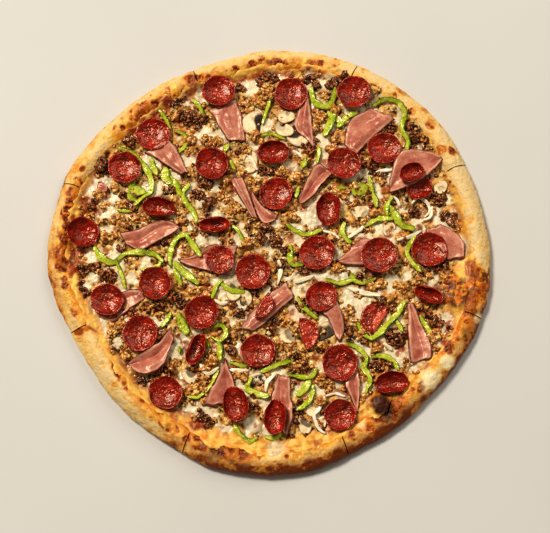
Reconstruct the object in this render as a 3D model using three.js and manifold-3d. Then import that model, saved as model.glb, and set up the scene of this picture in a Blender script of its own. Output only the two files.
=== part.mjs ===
// New York-style pizza, eighteen inches across, cut into eight slices that still lie together.
// Sizes are in millimetres. The underside lies on z = 0, z points up, and y points away from the viewer.
import * as THREE from "three";
import { mergeVertices } from "three/addons/utils/BufferGeometryUtils.js";
import Module from "manifold-3d";

// Dough: a thin base inside a puffed rim.
const BASE_THICKNESS = 5;
const RIM_WIDTH = 28;
const RIM_HEIGHT = 18;
const RIM_SWELL = 1.4;
// Swellings round the rim: how many, where the first starts in radians, and their share of RIM_SWELL.
const RIM_SWELLINGS = [
  { count: 3, start: 1, share: 1 },
  { count: 7, start: 0, share: 0.6 },
  { count: 11, start: 2, share: 0.5 },
];
const FLOOR_RUN = 5;
const AZIMUTH_STEPS = 80;
const LATHE_CLEARANCE = 10;
// Outer radius of the dough at every twentieth degree, from the right and going left over the far side.
const OUTLINE = [228, 228, 230, 232, 230, 224, 223, 223, 229, 228, 214, 211, 214, 219, 218, 213, 215, 222];

// How far the whole is moved towards the viewer, so that the middle of its box is the origin.
const SHIFT_Y = -4.5;

// Cuts: eight spokes from a crossing that lies off the middle, by the direction of each in degrees.
const CROSSING = [-4, 10];
const CUT_DIRECTIONS = [23.5, 64, 111.5, 161.6, 204, 248.5, 291.5, 341.6];
const CUT_WIDTH = 0.8;
const NOTCH_DEPTH = 2.5;
const NOTCH_HALF_ANGLE = 2.6;

// Cheese bed: the melted layer that carries the toppings and has run together again over the cuts.
const GAP = 0.3;
const BED_HEIGHT = 10;
const BED_WAVE = 0.9;
// How far the bed's waves run in a radian: across, away from the viewer, and slanted.
const WAVE_ACROSS = 19;
const WAVE_AWAY = 23;
const WAVE_SLANTED = 11;
const BED_RINGS = 6;
const BED_LAP = 1;

// Toppings.
const PEPPERONI_THICKNESS = 1.8;
const PEPPERONI_CUP = 2.2;
const PEPPERONI_SIDES = 12;
const HAM_THICKNESS = 1.5;
const HAM_CELLS = [6, 5];
const HAM_RIPPLE = 0.12;
const TOPPING_HEIGHT = 13;
const SETTLE_STEP = 0.4;

// The view that the topping places are read in: millimetres to a pixel, distance, elevation, the pizza's middle.
const MM_PER_PIXEL = 1.03;
const VIEW_DISTANCE = 1338;
const VIEW_ELEVATION = THREE.MathUtils.degToRad(76);
const MIDDLE_X = 269;
const MIDDLE_Y = 260.5;

const CRUST = { color: 0xdfae66, roughness: 0.8 };
const CHEESE = { color: 0xe2c488, roughness: 0.5 };
const PEPPERONI = { color: 0xa51a12, roughness: 0.35 };
const HAM = { color: 0xd88589, roughness: 0.45 };

// Each slice of pepperoni: its place in the view and its radius. bend is the half angle in radians that it is
// rolled through, about a line at axis degrees, and cup scales how far its edge curls up. lean tips it by that
// many degrees, so that its edge in the direction toward stands up. under marks a slice that ham lies on.
const PEPPERONI_SLICES = [
  { x: 219, y: 93, radius: 17.5 },
  { x: 153, y: 135, radius: 18 },
  { x: 125, y: 168, radius: 17.5 },
  { x: 212, y: 165, radius: 17.5, cup: 1.6 },
  { x: 273, y: 154, radius: 17.5, bend: 0.7, axis: 0 },
  { x: 276, y: 194, radius: 17.5 },
  { x: 159, y: 208, radius: 17.5, bend: 1.0, axis: -10 },
  { x: 82, y: 233, radius: 16.5, cup: 2.0, lean: 24, toward: 172 },
  { x: 215, y: 226, radius: 16.5, bend: 1.2, axis: 5 },
  { x: 220, y: 261, radius: 15, cup: 0.6 },
  { x: 253, y: 272, radius: 18.5 },
  { x: 291, y: 95, radius: 18 },
  { x: 353, y: 95, radius: 18 },
  { x: 384, y: 149, radius: 17.5, under: true },
  { x: 343.5, y: 166, radius: 17.5 },
  { x: 328, y: 210, radius: 18, bend: 0.7, axis: 80 },
  { x: 411, y: 176, radius: 14, bend: 0.6, axis: 20 },
  { x: 419, y: 189, radius: 14, bend: 0.3, axis: 15, under: true },
  { x: 317, y: 253, radius: 18.5 },
  { x: 379, y: 257, radius: 19 },
  { x: 429, y: 250, radius: 18.5 },
  { x: 107.5, y: 300, radius: 17 },
  { x: 155.5, y: 284, radius: 17, cup: 1.3 },
  { x: 140, y: 333.5, radius: 18.5 },
  { x: 202, y: 313, radius: 17.5, cup: 1.3 },
  { x: 196, y: 350, radius: 17.5, bend: 1.25, axis: 70 },
  { x: 258, y: 351, radius: 17.5 },
  { x: 166, y: 393, radius: 17 },
  { x: 236, y: 405, radius: 17.5, bend: 0.6, axis: 100 },
  { x: 275, y: 418, radius: 17.5, bend: 0.9, axis: 85 },
  { x: 264, y: 307, radius: 15.5, bend: 1.5, axis: 60 },
  { x: 321, y: 297, radius: 16 },
  { x: 309, y: 334, radius: 17.5, bend: 1.5, axis: 105 },
  { x: 375, y: 318, radius: 17.5, bend: 0.7, axis: 50 },
  { x: 428, y: 295.5, radius: 16, bend: 1.15, axis: -20 },
  { x: 340, y: 363, radius: 18.5 },
  { x: 391, y: 383, radius: 17.5, bend: 0.9, axis: 5 },
  { x: 340, y: 415, radius: 16 },
];

// Each piece of ham: points along its left and right side in the view, as [x, y], from its start to its end.
// ridge is the height of its fold, or below zero the depth of its trough.
const HAM_PIECES = [
  { left: [[236, 98], [245, 130], [246, 142]], right: [[209, 110], [221, 131], [228, 140]], ridge: 3 },
  { left: [[395, 119], [370, 141], [357, 155]], right: [[370, 108], [348, 126], [344, 146]], ridge: 4 },
  { left: [[443, 161], [420, 182], [390, 194]], right: [[438, 157], [407, 153], [388, 187]], ridge: -3 },
  { left: [[336, 172], [317, 192], [302, 206]], right: [[320, 164], [308, 178], [297, 203]], ridge: -5 },
  { left: [[243, 176], [251, 197], [259, 223]], right: [[230, 180], [239, 198], [252, 218]], ridge: 5 },
  { left: [[120, 234], [158, 222], [180, 226]], right: [[127, 245], [150, 247], [180, 229]], ridge: -5 },
  { left: [[177, 259], [207, 248], [238, 246]], right: [[178, 262], [203, 270], [230, 277]], ridge: -4 },
  { left: [[338, 260], [366, 239], [397, 246]], right: [[339, 264], [366, 265], [397, 262]], ridge: 3 },
  { left: [[126, 363], [158, 343], [171, 327]], right: [[133, 371], [158, 369], [174, 340]], ridge: -6 },
  { left: [[240, 328], [263, 300], [287, 281]], right: [[254, 332], [275, 315], [294, 298]], ridge: 6 },
  { left: [[413, 303], [426, 332], [431, 358]], right: [[407, 303], [407, 333], [410, 364]], ridge: -4 },
  { left: [[226, 359], [236, 387], [232, 404]], right: [[224, 359], [210, 392], [205, 406]], ridge: -4 },
  { left: [[291, 378], [292, 408], [288, 436]], right: [[277, 374], [272, 402], [283, 434]], ridge: -4 },
];

const wasm = await Module();
wasm.setup();

// A three.js geometry as a solid for joining and cutting.
function solidOf(geometry) {
  const plain = geometry.clone();
  plain.deleteAttribute("normal");
  plain.deleteAttribute("uv");
  const merged = mergeVertices(plain, 1e-3);
  const corners = Array.from(merged.index.array);
  const kept = [];
  for (let i = 0; i < corners.length; i += 3) {
    const [a, b, c] = corners.slice(i, i + 3);
    if (a !== b && b !== c && c !== a) {
      kept.push(a, b, c);
    }
  }
  const vertProperties = Float32Array.from(merged.attributes.position.array);
  const triVerts = Uint32Array.from(kept);
  return new wasm.Manifold(new wasm.Mesh({ numProp: 3, vertProperties, triVerts }));
}

// A solid as a named mesh with a finish of its own.
function meshOf(solid, name, finish) {
  const { vertProperties, triVerts } = solid.getMesh();
  const geometry = new THREE.BufferGeometry();
  geometry.setAttribute("position", new THREE.Float32BufferAttribute(vertProperties, 3));
  geometry.setIndex(Array.from(triVerts));
  geometry.computeVertexNormals();
  const mesh = new THREE.Mesh(geometry, new THREE.MeshStandardMaterial({ ...finish, metalness: 0 }));
  mesh.name = name;
  return mesh;
}

// Moves each vertex of a geometry with move(point), which changes the point in place.
function reshape(geometry, move) {
  const position = geometry.attributes.position;
  const point = new THREE.Vector3();
  for (let i = 0; i < position.count; i++) {
    point.fromBufferAttribute(position, i);
    move(point);
    position.setXYZ(i, point.x, point.y, point.z);
  }
  return geometry;
}

// A revolved profile of [distance inwards from the outline, height] pairs, with the axis turned to z. It
// stands clear of the axis by LATHE_CLEARANCE, so that every point keeps its direction.
function revolved(profile) {
  const points = profile.map(([inset, height]) => new THREE.Vector2(LATHE_CLEARANCE + inset, height));
  return new THREE.LatheGeometry(points, AZIMUTH_STEPS).rotateX(Math.PI / 2);
}

// Where a point seen in the view lies on the pizza, at a height.
function onPizza(viewX, viewY, height) {
  const rise = Math.cos(VIEW_ELEVATION);
  const depth = Math.sin(VIEW_ELEVATION);
  const focal = VIEW_DISTANCE / MM_PER_PIXEL;
  const slope = (MIDDLE_Y - viewY) / focal;
  const y = (slope * (VIEW_DISTANCE - height * depth) - height * rise) / (depth - slope * rise);
  const x = ((viewX - MIDDLE_X) / focal) * (VIEW_DISTANCE + y * rise - height * depth);
  return new THREE.Vector2(x, y);
}

// Smooth step from 0 to 1 as value goes over the range.
function eased(value, low, high) {
  return THREE.MathUtils.smoothstep(value, low, high);
}

// The smallest angle in degrees between two directions.
function apart(a, b) {
  return Math.abs(((a - b + 540) % 360) - 180);
}

// The direction in degrees, from the middle of the pizza, in which each cut leaves the rim.
const NOTCHES = CUT_DIRECTIONS.map((degrees) => {
  const turn = THREE.MathUtils.degToRad(degrees);
  const x = CROSSING[0] + OUTLINE[0] * Math.cos(turn);
  const y = CROSSING[1] + OUTLINE[0] * Math.sin(turn);
  return (THREE.MathUtils.radToDeg(Math.atan2(y, x)) + 360) % 360;
});

// How much a direction is in a notch of the rim, from 0 to 1.
function notchAt(degrees) {
  const nearest = Math.min(...NOTCHES.map((notch) => apart(notch, degrees)));
  return 1 - eased(nearest, 0, NOTCH_HALF_ANGLE);
}

// Outer radius of the dough in a direction: a smooth closed curve through the outline, less a cut's notch.
const OUTLINE_CURVE = new THREE.CatmullRomCurve3(
  OUTLINE.map((radius) => new THREE.Vector3(radius, 0, 0)),
  true,
);
function outlineAt(degrees) {
  return OUTLINE_CURVE.getPoint(degrees / 360).x - NOTCH_DEPTH * notchAt(degrees);
}

// Height of the rim's crest in a direction: uneven, and lower at a cut.
function crestAt(degrees) {
  const turn = THREE.MathUtils.degToRad(degrees);
  const swellings = RIM_SWELLINGS.map(({ count, start, share }) => share * Math.sin(count * turn + start));
  const swell = swellings.reduce((sum, height) => sum + height);
  return RIM_HEIGHT + RIM_SWELL * swell - NOTCH_DEPTH * notchAt(degrees);
}

// Unevenness of the melted cheese at a place.
function waveAt(x, y) {
  const broad = Math.sin(x / WAVE_ACROSS + 1) * Math.cos(y / WAVE_AWAY);
  return BED_WAVE * (broad + 0.6 * Math.sin((x + y) / WAVE_SLANTED));
}

// Puts a revolved shape on the outline: what was the distance from the axis is the distance inwards from the
// outline, and beyond the rim the rings close up evenly to the middle.
function fitToOutline(geometry, rimDepth, shapeHeight) {
  return reshape(geometry, (point) => {
    const distance = Math.hypot(point.x, point.y);
    const inset = distance - LATHE_CLEARANCE;
    const degrees = (THREE.MathUtils.radToDeg(Math.atan2(point.y, point.x)) + 360) % 360;
    const outer = outlineAt(degrees);
    const beyond = inset - rimDepth;
    const inner = outer - rimDepth;
    const reach = beyond > 0 ? inner * (1 - beyond) : outer - inset;
    const scale = reach / distance;
    point.x *= scale;
    point.y *= scale;
    point.z = shapeHeight(point.z, degrees, point.x, point.y);
  });
}

// The whole dough: a flat underside, a bulging outer side, the crest, and the inner side down to the floor.
// The last unit of inset after the rim runs to the middle.
function doughSolid() {
  const end = RIM_WIDTH + FLOOR_RUN;
  const profile = [
    [end + 1, 0],
    [0.24 * RIM_WIDTH, 0],
    [0.06 * RIM_WIDTH, 0.16 * RIM_HEIGHT],
    [0, 0.45 * RIM_HEIGHT],
    [0.09 * RIM_WIDTH, 0.72 * RIM_HEIGHT],
    [0.26 * RIM_WIDTH, 0.93 * RIM_HEIGHT],
    [0.48 * RIM_WIDTH, RIM_HEIGHT],
    [0.68 * RIM_WIDTH, 0.92 * RIM_HEIGHT],
    [0.87 * RIM_WIDTH, 0.66 * RIM_HEIGHT],
    [RIM_WIDTH, 0.38 * RIM_HEIGHT],
    [end, BASE_THICKNESS],
    [end + 1, BASE_THICKNESS],
  ];
  const shape = fitToOutline(revolved(profile), end, (height, degrees) => {
    const lift = eased(height, BASE_THICKNESS, RIM_HEIGHT);
    return height + lift * (crestAt(degrees) - RIM_HEIGHT);
  });
  return solidOf(shape);
}

// The wedge between two neighbouring cuts, narrowed by half a cut's width on each side.
function wedgeSolid(startDegrees, endDegrees) {
  const start = THREE.MathUtils.degToRad(startDegrees);
  const end = THREE.MathUtils.degToRad(endDegrees);
  const middle = (start + end) / 2;
  const setBack = CUT_WIDTH / 2 / Math.sin((end - start) / 2);
  const reach = 2 * RIM_WIDTH + OUTLINE[0];
  const tip = new THREE.Vector2(setBack * Math.cos(middle), setBack * Math.sin(middle));
  const shape = new THREE.Shape([
    tip,
    new THREE.Vector2(tip.x + reach * Math.cos(start), tip.y + reach * Math.sin(start)),
    new THREE.Vector2(tip.x + reach * Math.cos(middle), tip.y + reach * Math.sin(middle)),
    new THREE.Vector2(tip.x + reach * Math.cos(end), tip.y + reach * Math.sin(end)),
  ]);
  const prism = new THREE.ExtrudeGeometry(shape, { depth: 3 * RIM_HEIGHT, bevelEnabled: false });
  return solidOf(prism.translate(CROSSING[0], CROSSING[1], -RIM_HEIGHT));
}

// The eight slices of dough, each between one cut and the next.
function crustSlices() {
  const dough = doughSolid();
  return CUT_DIRECTIONS.map((start, i) => {
    const next = CUT_DIRECTIONS[(i + 1) % CUT_DIRECTIONS.length];
    const end = next > start ? next : next + 360;
    return dough.intersect(wedgeSolid(start, end));
  });
}

// The cheese bed: it lies on the floor of the dough and laps up the foot of the rim.
function bedSolid() {
  const end = RIM_WIDTH + FLOOR_RUN;
  const underside = BASE_THICKNESS + GAP;
  const profile = [
    [end + 1, underside],
    [end + 2 * GAP, underside],
    [RIM_WIDTH + BED_LAP, 0.38 * RIM_HEIGHT],
    [RIM_WIDTH + BED_LAP - 1, BED_HEIGHT],
  ];
  for (let ring = 0; ring <= BED_RINGS; ring++) {
    profile.push([end + ring / BED_RINGS, BED_HEIGHT]);
  }
  const shape = fitToOutline(revolved(profile), end, (height, degrees, x, y) => {
    return height < BED_HEIGHT ? height : height + waveAt(x, y);
  });
  return solidOf(shape);
}

// One slice of pepperoni about the origin: a thin disc whose edge curls up, rolled about a line.
function pepperoniGeometry({ radius, bend = 0, axis = 0, cup = 1, lean = 0, toward = 0 }) {
  const curl = PEPPERONI_CUP * cup;
  const points = [
    [0, 0],
    [0.72 * radius, 0.2 * curl],
    [radius, curl],
    [0.985 * radius, curl + 0.8 * PEPPERONI_THICKNESS],
    [0.72 * radius, 0.2 * curl + PEPPERONI_THICKNESS],
    [0, PEPPERONI_THICKNESS],
  ].map(([distance, height]) => new THREE.Vector2(distance, height));
  const disc = new THREE.LatheGeometry(points, PEPPERONI_SIDES).rotateX(Math.PI / 2);
  const turn = THREE.MathUtils.degToRad(axis);
  disc.rotateZ(-turn);
  if (bend > 0) {
    const rollRadius = radius / bend;
    reshape(disc, (point) => {
      const angle = point.y / rollRadius;
      const arm = rollRadius - point.z;
      point.y = arm * Math.sin(angle);
      point.z = rollRadius - arm * Math.cos(angle);
    });
  }
  disc.rotateZ(turn);
  const heading = THREE.MathUtils.degToRad(toward);
  return disc.rotateZ(-heading).rotateY(-THREE.MathUtils.degToRad(lean)).rotateZ(heading);
}

// A point along a line of three or more points in the view, at a share of its length from 0 to 1.
function alongSide(side, share) {
  const place = share * (side.length - 1);
  const before = Math.min(Math.floor(place), side.length - 2);
  const from = onPizza(...side[before], TOPPING_HEIGHT);
  return from.lerp(onPizza(...side[before + 1], TOPPING_HEIGHT), place - before);
}

// One piece of ham in its place: a thin sheet between its two sides, folded to a ridge or a trough that is
// deepest halfway along, with a ripple whose height is a share of the fold's.
function hamGeometry({ left, right, ridge }) {
  const sheet = new THREE.BoxGeometry(1, 1, 1, HAM_CELLS[0], HAM_CELLS[1], 1);
  return reshape(sheet, (point) => {
    const along = point.x + 0.5;
    const across = point.y;
    const spot = alongSide(right, along).lerp(alongSide(left, along), across + 0.5);
    const fold = Math.cos(Math.PI * across) * (0.5 + 2 * along * (1 - along));
    const ripple = HAM_RIPPLE * Math.sin(7 * along + 5 * across);
    point.z = ridge * (fold + ripple) - Math.min(ridge, 0) + (point.z + 0.5) * HAM_THICKNESS;
    point.x = spot.x;
    point.y = spot.y;
  });
}

// Lifts a solid to the lowest height at which it keeps clear of all that is placed already.
function settled(solid, placed) {
  const box = solid.boundingBox();
  const near = placed.filter((other) => {
    const reach = other.boundingBox();
    const clearX = reach.min[0] > box.max[0] || reach.max[0] < box.min[0];
    const clearY = reach.min[1] > box.max[1] || reach.max[1] < box.min[1];
    return !clearX && !clearY;
  });
  let lift = BED_HEIGHT - 2 * BED_WAVE;
  let raised = solid.translate([0, 0, lift]);
  while (near.some((other) => raised.intersect(other).volume() > 0)) {
    lift += SETTLE_STEP;
    raised = solid.translate([0, 0, lift]);
  }
  return raised.translate([0, 0, GAP]);
}

const pizza = new THREE.Group();
pizza.name = "pizza";
pizza.position.y = SHIFT_Y;

const slices = crustSlices();
slices.forEach((slice, i) => pizza.add(meshOf(slice, `crust_slice_${i + 1}`, CRUST)));

const bed = bedSolid();
pizza.add(meshOf(bed, "cheese_bed", CHEESE));

// Toppings go on from the bottom up: the pepperoni that ham covers, then the ham, then the rest.
const placed = [bed, ...slices];
const numbered = (kind, i) => `${kind}_${String(i + 1).padStart(2, "0")}`;

function addTopping(solid, name, finish) {
  const resting = settled(solid, placed);
  placed.push(resting);
  pizza.add(meshOf(resting, name, finish));
}

function addPepperoni(wanted) {
  PEPPERONI_SLICES.forEach((entry, i) => {
    if (Boolean(entry.under) === wanted) {
      const spot = onPizza(entry.x, entry.y, TOPPING_HEIGHT);
      const disc = pepperoniGeometry(entry).translate(spot.x, spot.y, 0);
      addTopping(solidOf(disc), numbered("pepperoni", i), PEPPERONI);
    }
  });
}

addPepperoni(true);
HAM_PIECES.forEach((entry, i) => addTopping(solidOf(hamGeometry(entry)), numbered("ham", i), HAM));
addPepperoni(false);

export default pizza;
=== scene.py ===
"""New York-style pizza with meat and vegetable toppings, over the CAD frame."""
import logging
import math
from dataclasses import dataclass, field
from enum import Enum

import bmesh
import bpy
import numpy as np
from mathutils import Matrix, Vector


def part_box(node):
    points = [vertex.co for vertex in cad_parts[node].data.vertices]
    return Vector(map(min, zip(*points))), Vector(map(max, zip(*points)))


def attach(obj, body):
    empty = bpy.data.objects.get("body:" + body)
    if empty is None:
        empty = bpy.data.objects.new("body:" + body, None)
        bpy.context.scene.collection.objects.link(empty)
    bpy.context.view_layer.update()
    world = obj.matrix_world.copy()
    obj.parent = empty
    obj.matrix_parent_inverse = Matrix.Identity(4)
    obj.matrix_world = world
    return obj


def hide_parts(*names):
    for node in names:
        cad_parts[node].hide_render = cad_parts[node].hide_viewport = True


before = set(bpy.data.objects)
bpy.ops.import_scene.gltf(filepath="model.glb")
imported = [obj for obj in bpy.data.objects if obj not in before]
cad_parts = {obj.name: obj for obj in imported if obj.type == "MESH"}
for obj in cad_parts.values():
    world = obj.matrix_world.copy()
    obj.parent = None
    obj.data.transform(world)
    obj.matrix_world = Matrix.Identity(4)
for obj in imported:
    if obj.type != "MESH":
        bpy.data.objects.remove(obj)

Array = np.ndarray
Socket = bpy.types.NodeSocket
Material = bpy.types.Material
Tree = bpy.types.NodeTree

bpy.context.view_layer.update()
MM = 0.001
LOG = logging.getLogger("pizza")


def srgb(red: float, green: float, blue: float) -> tuple[float, float, float, float]:
    """A colour as the eye reads it, from 0 to 255, as the linear colour a shader takes.

    Args:
        red: red from 0 to 255.
        green: green from 0 to 255.
        blue: blue from 0 to 255.

    Returns:
        Linear red, green, blue and an alpha of 1.
    """
    levels = [value / 255 for value in (red, green, blue)]
    linear = [v / 12.92 if v <= 0.04045 else ((v + 0.055) / 1.055) ** 2.4 for v in levels]
    return (*linear, 1.0)


def eased(value: Array, low: float, high: float) -> Array:
    """A smooth step from 0 at low to 1 at high, which may be below low."""
    share = np.clip((np.asarray(value, dtype=float) - low) / (high - low), 0, 1)
    return share * share * (3 - 2 * share)


NOISE_TABLE = np.random.default_rng(7).uniform(-1, 1, 4096)
# Odd numbers that scatter the cells and the seed over the table.
CELL_SCATTER = (73856093, 19349663, 83492791)
SEED_SCATTER = 2654435


def noise(points: Array, seed: int) -> Array:
    """One layer of smooth random relief with features one unit across, the same on every run.

    Args:
        points: places, one row each.
        seed: picks one of many reliefs.

    Returns:
        A value from -1 to 1 for each place.
    """
    cell = np.floor(points).astype(np.int64)
    part = points - cell
    part = part * part * part * (part * (part * 6 - 15) + 10)
    total = np.zeros(len(points))
    for corner in range(8):
        step = np.array([corner & 1, corner >> 1 & 1, corner >> 2 & 1])
        x, y, z = ((cell + step) * CELL_SCATTER).T
        picked = (x ^ y ^ z ^ seed * SEED_SCATTER) & len(NOISE_TABLE) - 1
        total += NOISE_TABLE[picked] * np.prod(np.where(step == 1, part, 1 - part), axis=1)
    return total


def relief(points: Array, size: float, layers: int = 3, seed: int = 0) -> Array:
    """Several layers of relief, each half the size and height of the one before.

    Args:
        points: places in millimetres, one row each.
        size: size of the largest features in millimetres.
        layers: number of layers.
        seed: picks one of many reliefs.

    Returns:
        A value of about -1 to 1 for each place.
    """
    total = np.zeros(len(points))
    for layer in range(layers):
        fine = 2 ** layer
        total += noise(points * (fine / size) + 17.3 * layer, seed + 31 * layer) / fine
    return total / 1.3


def billow(points: Array, size: float, layers: int = 2, seed: int = 0) -> Array:
    """Relief of round lumps.

    Args:
        points: places in millimetres, one row each.
        size: size of the largest lumps in millimetres.
        layers: number of layers.
        seed: picks one of many reliefs.

    Returns:
        A value for each place, from about 0 in the creases to 1.
    """
    total = np.zeros(len(points))
    for layer in range(layers):
        fine = 2 ** layer
        total += np.abs(noise(points * (fine / size) + 11.1 * layer, seed + 29 * layer)) / fine
    return total * 1.6


def flat_places(x: Array, y: Array, height: float = 0.0) -> Array:
    """Places on a level plane as rows of three numbers."""
    return np.stack([np.ravel(x), np.ravel(y), np.full(np.size(x), height)], axis=1)


def bearing_of(points: Array) -> Array:
    """The direction of places from the middle, in degrees from 0 to 360."""
    return np.degrees(np.arctan2(points[:, 1], points[:, 0])) % 360


def turned(x: Array, y: Array, angle: float) -> tuple[Array, Array]:
    """Places x and y turned about the middle by an angle in radians."""
    return x * math.cos(angle) - y * math.sin(angle), x * math.sin(angle) + y * math.cos(angle)


def ring_angles(count: int) -> Array:
    """Even directions all round, in radians."""
    return np.linspace(0, 2 * math.pi, count, endpoint=False)


def spline(points: Array, count: int) -> Array:
    """A smooth curve through points, at even steps.

    Args:
        points: the points to pass, one row each.
        count: number of points on the curve.

    Returns:
        The curve's points, one row each.
    """
    points = np.asarray(points, dtype=float)
    ends = np.vstack([2 * points[0] - points[1], points, 2 * points[-1] - points[-2]])
    at = np.linspace(0, len(points) - 1 - 1e-9, 12 * len(points))
    i = at.astype(int)
    t = (at - i)[:, None]
    a, b, c, d = ends[i], ends[i + 1], ends[i + 2], ends[i + 3]
    bend, twist = 2 * a - 5 * b + 4 * c - d, 3 * b - a - 3 * c + d
    curve = 0.5 * (2 * b + (c - a) * t + bend * t ** 2 + twist * t ** 3)
    length = np.concatenate([[0], np.cumsum(np.linalg.norm(np.diff(curve, axis=0), axis=1))])
    even = np.linspace(0, length[-1], count)
    return np.stack([np.interp(even, length, curve[:, k]) for k in range(points.shape[1])], axis=1)


def grid_faces(rows: int, columns: int, around: bool = False) -> Array:
    """Four-sided faces of a grid of points that is stored row after row.

    Args:
        rows: number of rows.
        columns: number of points in a row.
        around: whether each row closes on itself.

    Returns:
        The faces, as rows of four point numbers.
    """
    wide = columns if around else columns - 1
    i, j = np.meshgrid(np.arange(rows - 1), np.arange(wide), indexing="ij")
    i, j = i.ravel(), j.ravel()
    k = (j + 1) % columns
    return np.stack([i * columns + j, i * columns + k, (i + 1) * columns + k, (i + 1) * columns + j], axis=1)


def wall(loop: Array, count: int) -> Array:
    """Faces between a closed loop of points and the points that lie count numbers further on."""
    following = np.roll(loop, -1)
    return np.stack([loop, loop + count, following + count, following], axis=1)[:, ::-1]


def disc_faces(rings: int, sides: int) -> list[Array]:
    """Faces of a disc whose upper sheet of rings of points is stored before its lower sheet.

    Args:
        rings: number of rings in a sheet.
        sides: number of points in a ring.

    Returns:
        Arrays of faces, as rows of four point numbers.
    """
    count = rings * sides
    upper = grid_faces(rings, sides, around=True)
    return [upper, upper[:, ::-1] + count, wall(count - sides + np.arange(sides), count)]


def node_box(name: str) -> tuple[Array, Array]:
    """The lowest and highest corner of a CAD node's box in millimetres."""
    low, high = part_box(name)
    return np.array(low) / MM, np.array(high) / MM


@dataclass
class Patchwork:
    """One mesh gathered from many small parts, in millimetres, with painted masks on its points."""

    vertices: list[Array] = field(default_factory=list)
    faces: list[Array] = field(default_factory=list)
    masks: dict[str, list[Array]] = field(default_factory=dict)
    count: int = 0

    def add(self, vertices: Array, faces: list[Array], **masks: Array) -> None:
        """Adds a part.

        Args:
            vertices: its points, one row each.
            faces: arrays of faces, each with one number of corners.
            masks: values from 0 to 1 on the points, by name. Every part gives the same names.
        """
        self.vertices.append(vertices)
        self.faces += [group + self.count for group in faces]
        for name, values in masks.items():
            self.masks.setdefault(name, []).append(np.broadcast_to(values, len(vertices)))
        self.count += len(vertices)

    def piece(self, name: str, material: Material, nodes: tuple = ()) -> None:
        """Makes the mesh object, puts it on the body and reports it.

        Args:
            name: the piece's name.
            material: its finish.
            nodes: the CAD nodes it stands for.
        """
        points = np.concatenate(self.vertices) * MM
        mesh = bpy.data.meshes.new(name)
        mesh.vertices.add(len(points))
        mesh.vertices.foreach_set("co", points.ravel())
        corners = np.concatenate([group.ravel() for group in self.faces])
        sizes = np.concatenate([np.full(len(group), group.shape[1]) for group in self.faces])
        mesh.loops.add(len(corners))
        mesh.loops.foreach_set("vertex_index", corners)
        mesh.polygons.add(len(sizes))
        mesh.polygons.foreach_set("loop_start", np.concatenate([[0], np.cumsum(sizes)[:-1]]))
        mesh.polygons.foreach_set("loop_total", sizes)
        mesh.update(calc_edges=True)
        mesh.validate()
        mesh.polygons.foreach_set("use_smooth", np.ones(len(mesh.polygons), dtype=bool))
        for mask, values in self.masks.items():
            layer = mesh.attributes.new(mask, "FLOAT", "POINT")
            layer.data.foreach_set("value", np.concatenate(values))
        mesh.materials.append(material)
        made = bpy.data.objects.new(name, mesh)
        bpy.context.collection.objects.link(made)
        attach(made, "root")
        if nodes:
            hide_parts(*nodes)
        LOG.info("%s: %d faces", name, len(mesh.polygons))


@dataclass(frozen=True)
class View:
    """The view in which places are read, with x to the right and y down, and the camera that gives it."""

    mm_per_pixel: float = 1.03
    distance: float = 1338.0
    elevation: float = math.radians(76)
    middle_x: float = 269.0
    middle_y: float = 260.5
    shift_y: float = -4.5
    wide: int = 550
    high: int = 533

    def on_pizza(self, x: float, y: float, height: float = 13.0) -> Array:
        """Where a point seen in the view lies on the pizza.

        Args:
            x: distance from the view's left edge.
            y: distance from the view's top edge.
            height: height above the table in millimetres.

        Returns:
            The place in millimetres, as x and y.
        """
        rise, depth = math.cos(self.elevation), math.sin(self.elevation)
        focal = self.distance / self.mm_per_pixel
        slope = (self.middle_y - y) / focal
        far = (slope * (self.distance - height * depth) - height * rise) / (depth - slope * rise)
        side = (x - self.middle_x) / focal * (self.distance + far * rise - height * depth)
        return np.array([side, far + self.shift_y])

    def camera(self) -> None:
        """Adds the camera and makes it the scene's."""
        data = bpy.data.cameras.new("camera")
        data.sensor_width = 36
        data.lens = data.sensor_width * self.distance / self.mm_per_pixel / self.wide
        data.shift_x = (self.wide / 2 - self.middle_x) / self.wide
        data.shift_y = (self.middle_y - self.high / 2) / self.wide
        data.clip_start, data.clip_end = 0.05, 20
        made = bpy.data.objects.new("camera", data)
        reach = self.distance * MM
        away = self.shift_y * MM - reach * math.cos(self.elevation)
        made.location = (0, away, reach * math.sin(self.elevation))
        made.rotation_euler = (math.pi / 2 - self.elevation, 0, 0)
        bpy.context.collection.objects.link(made)
        bpy.context.scene.camera = made


VIEW = View()


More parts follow.
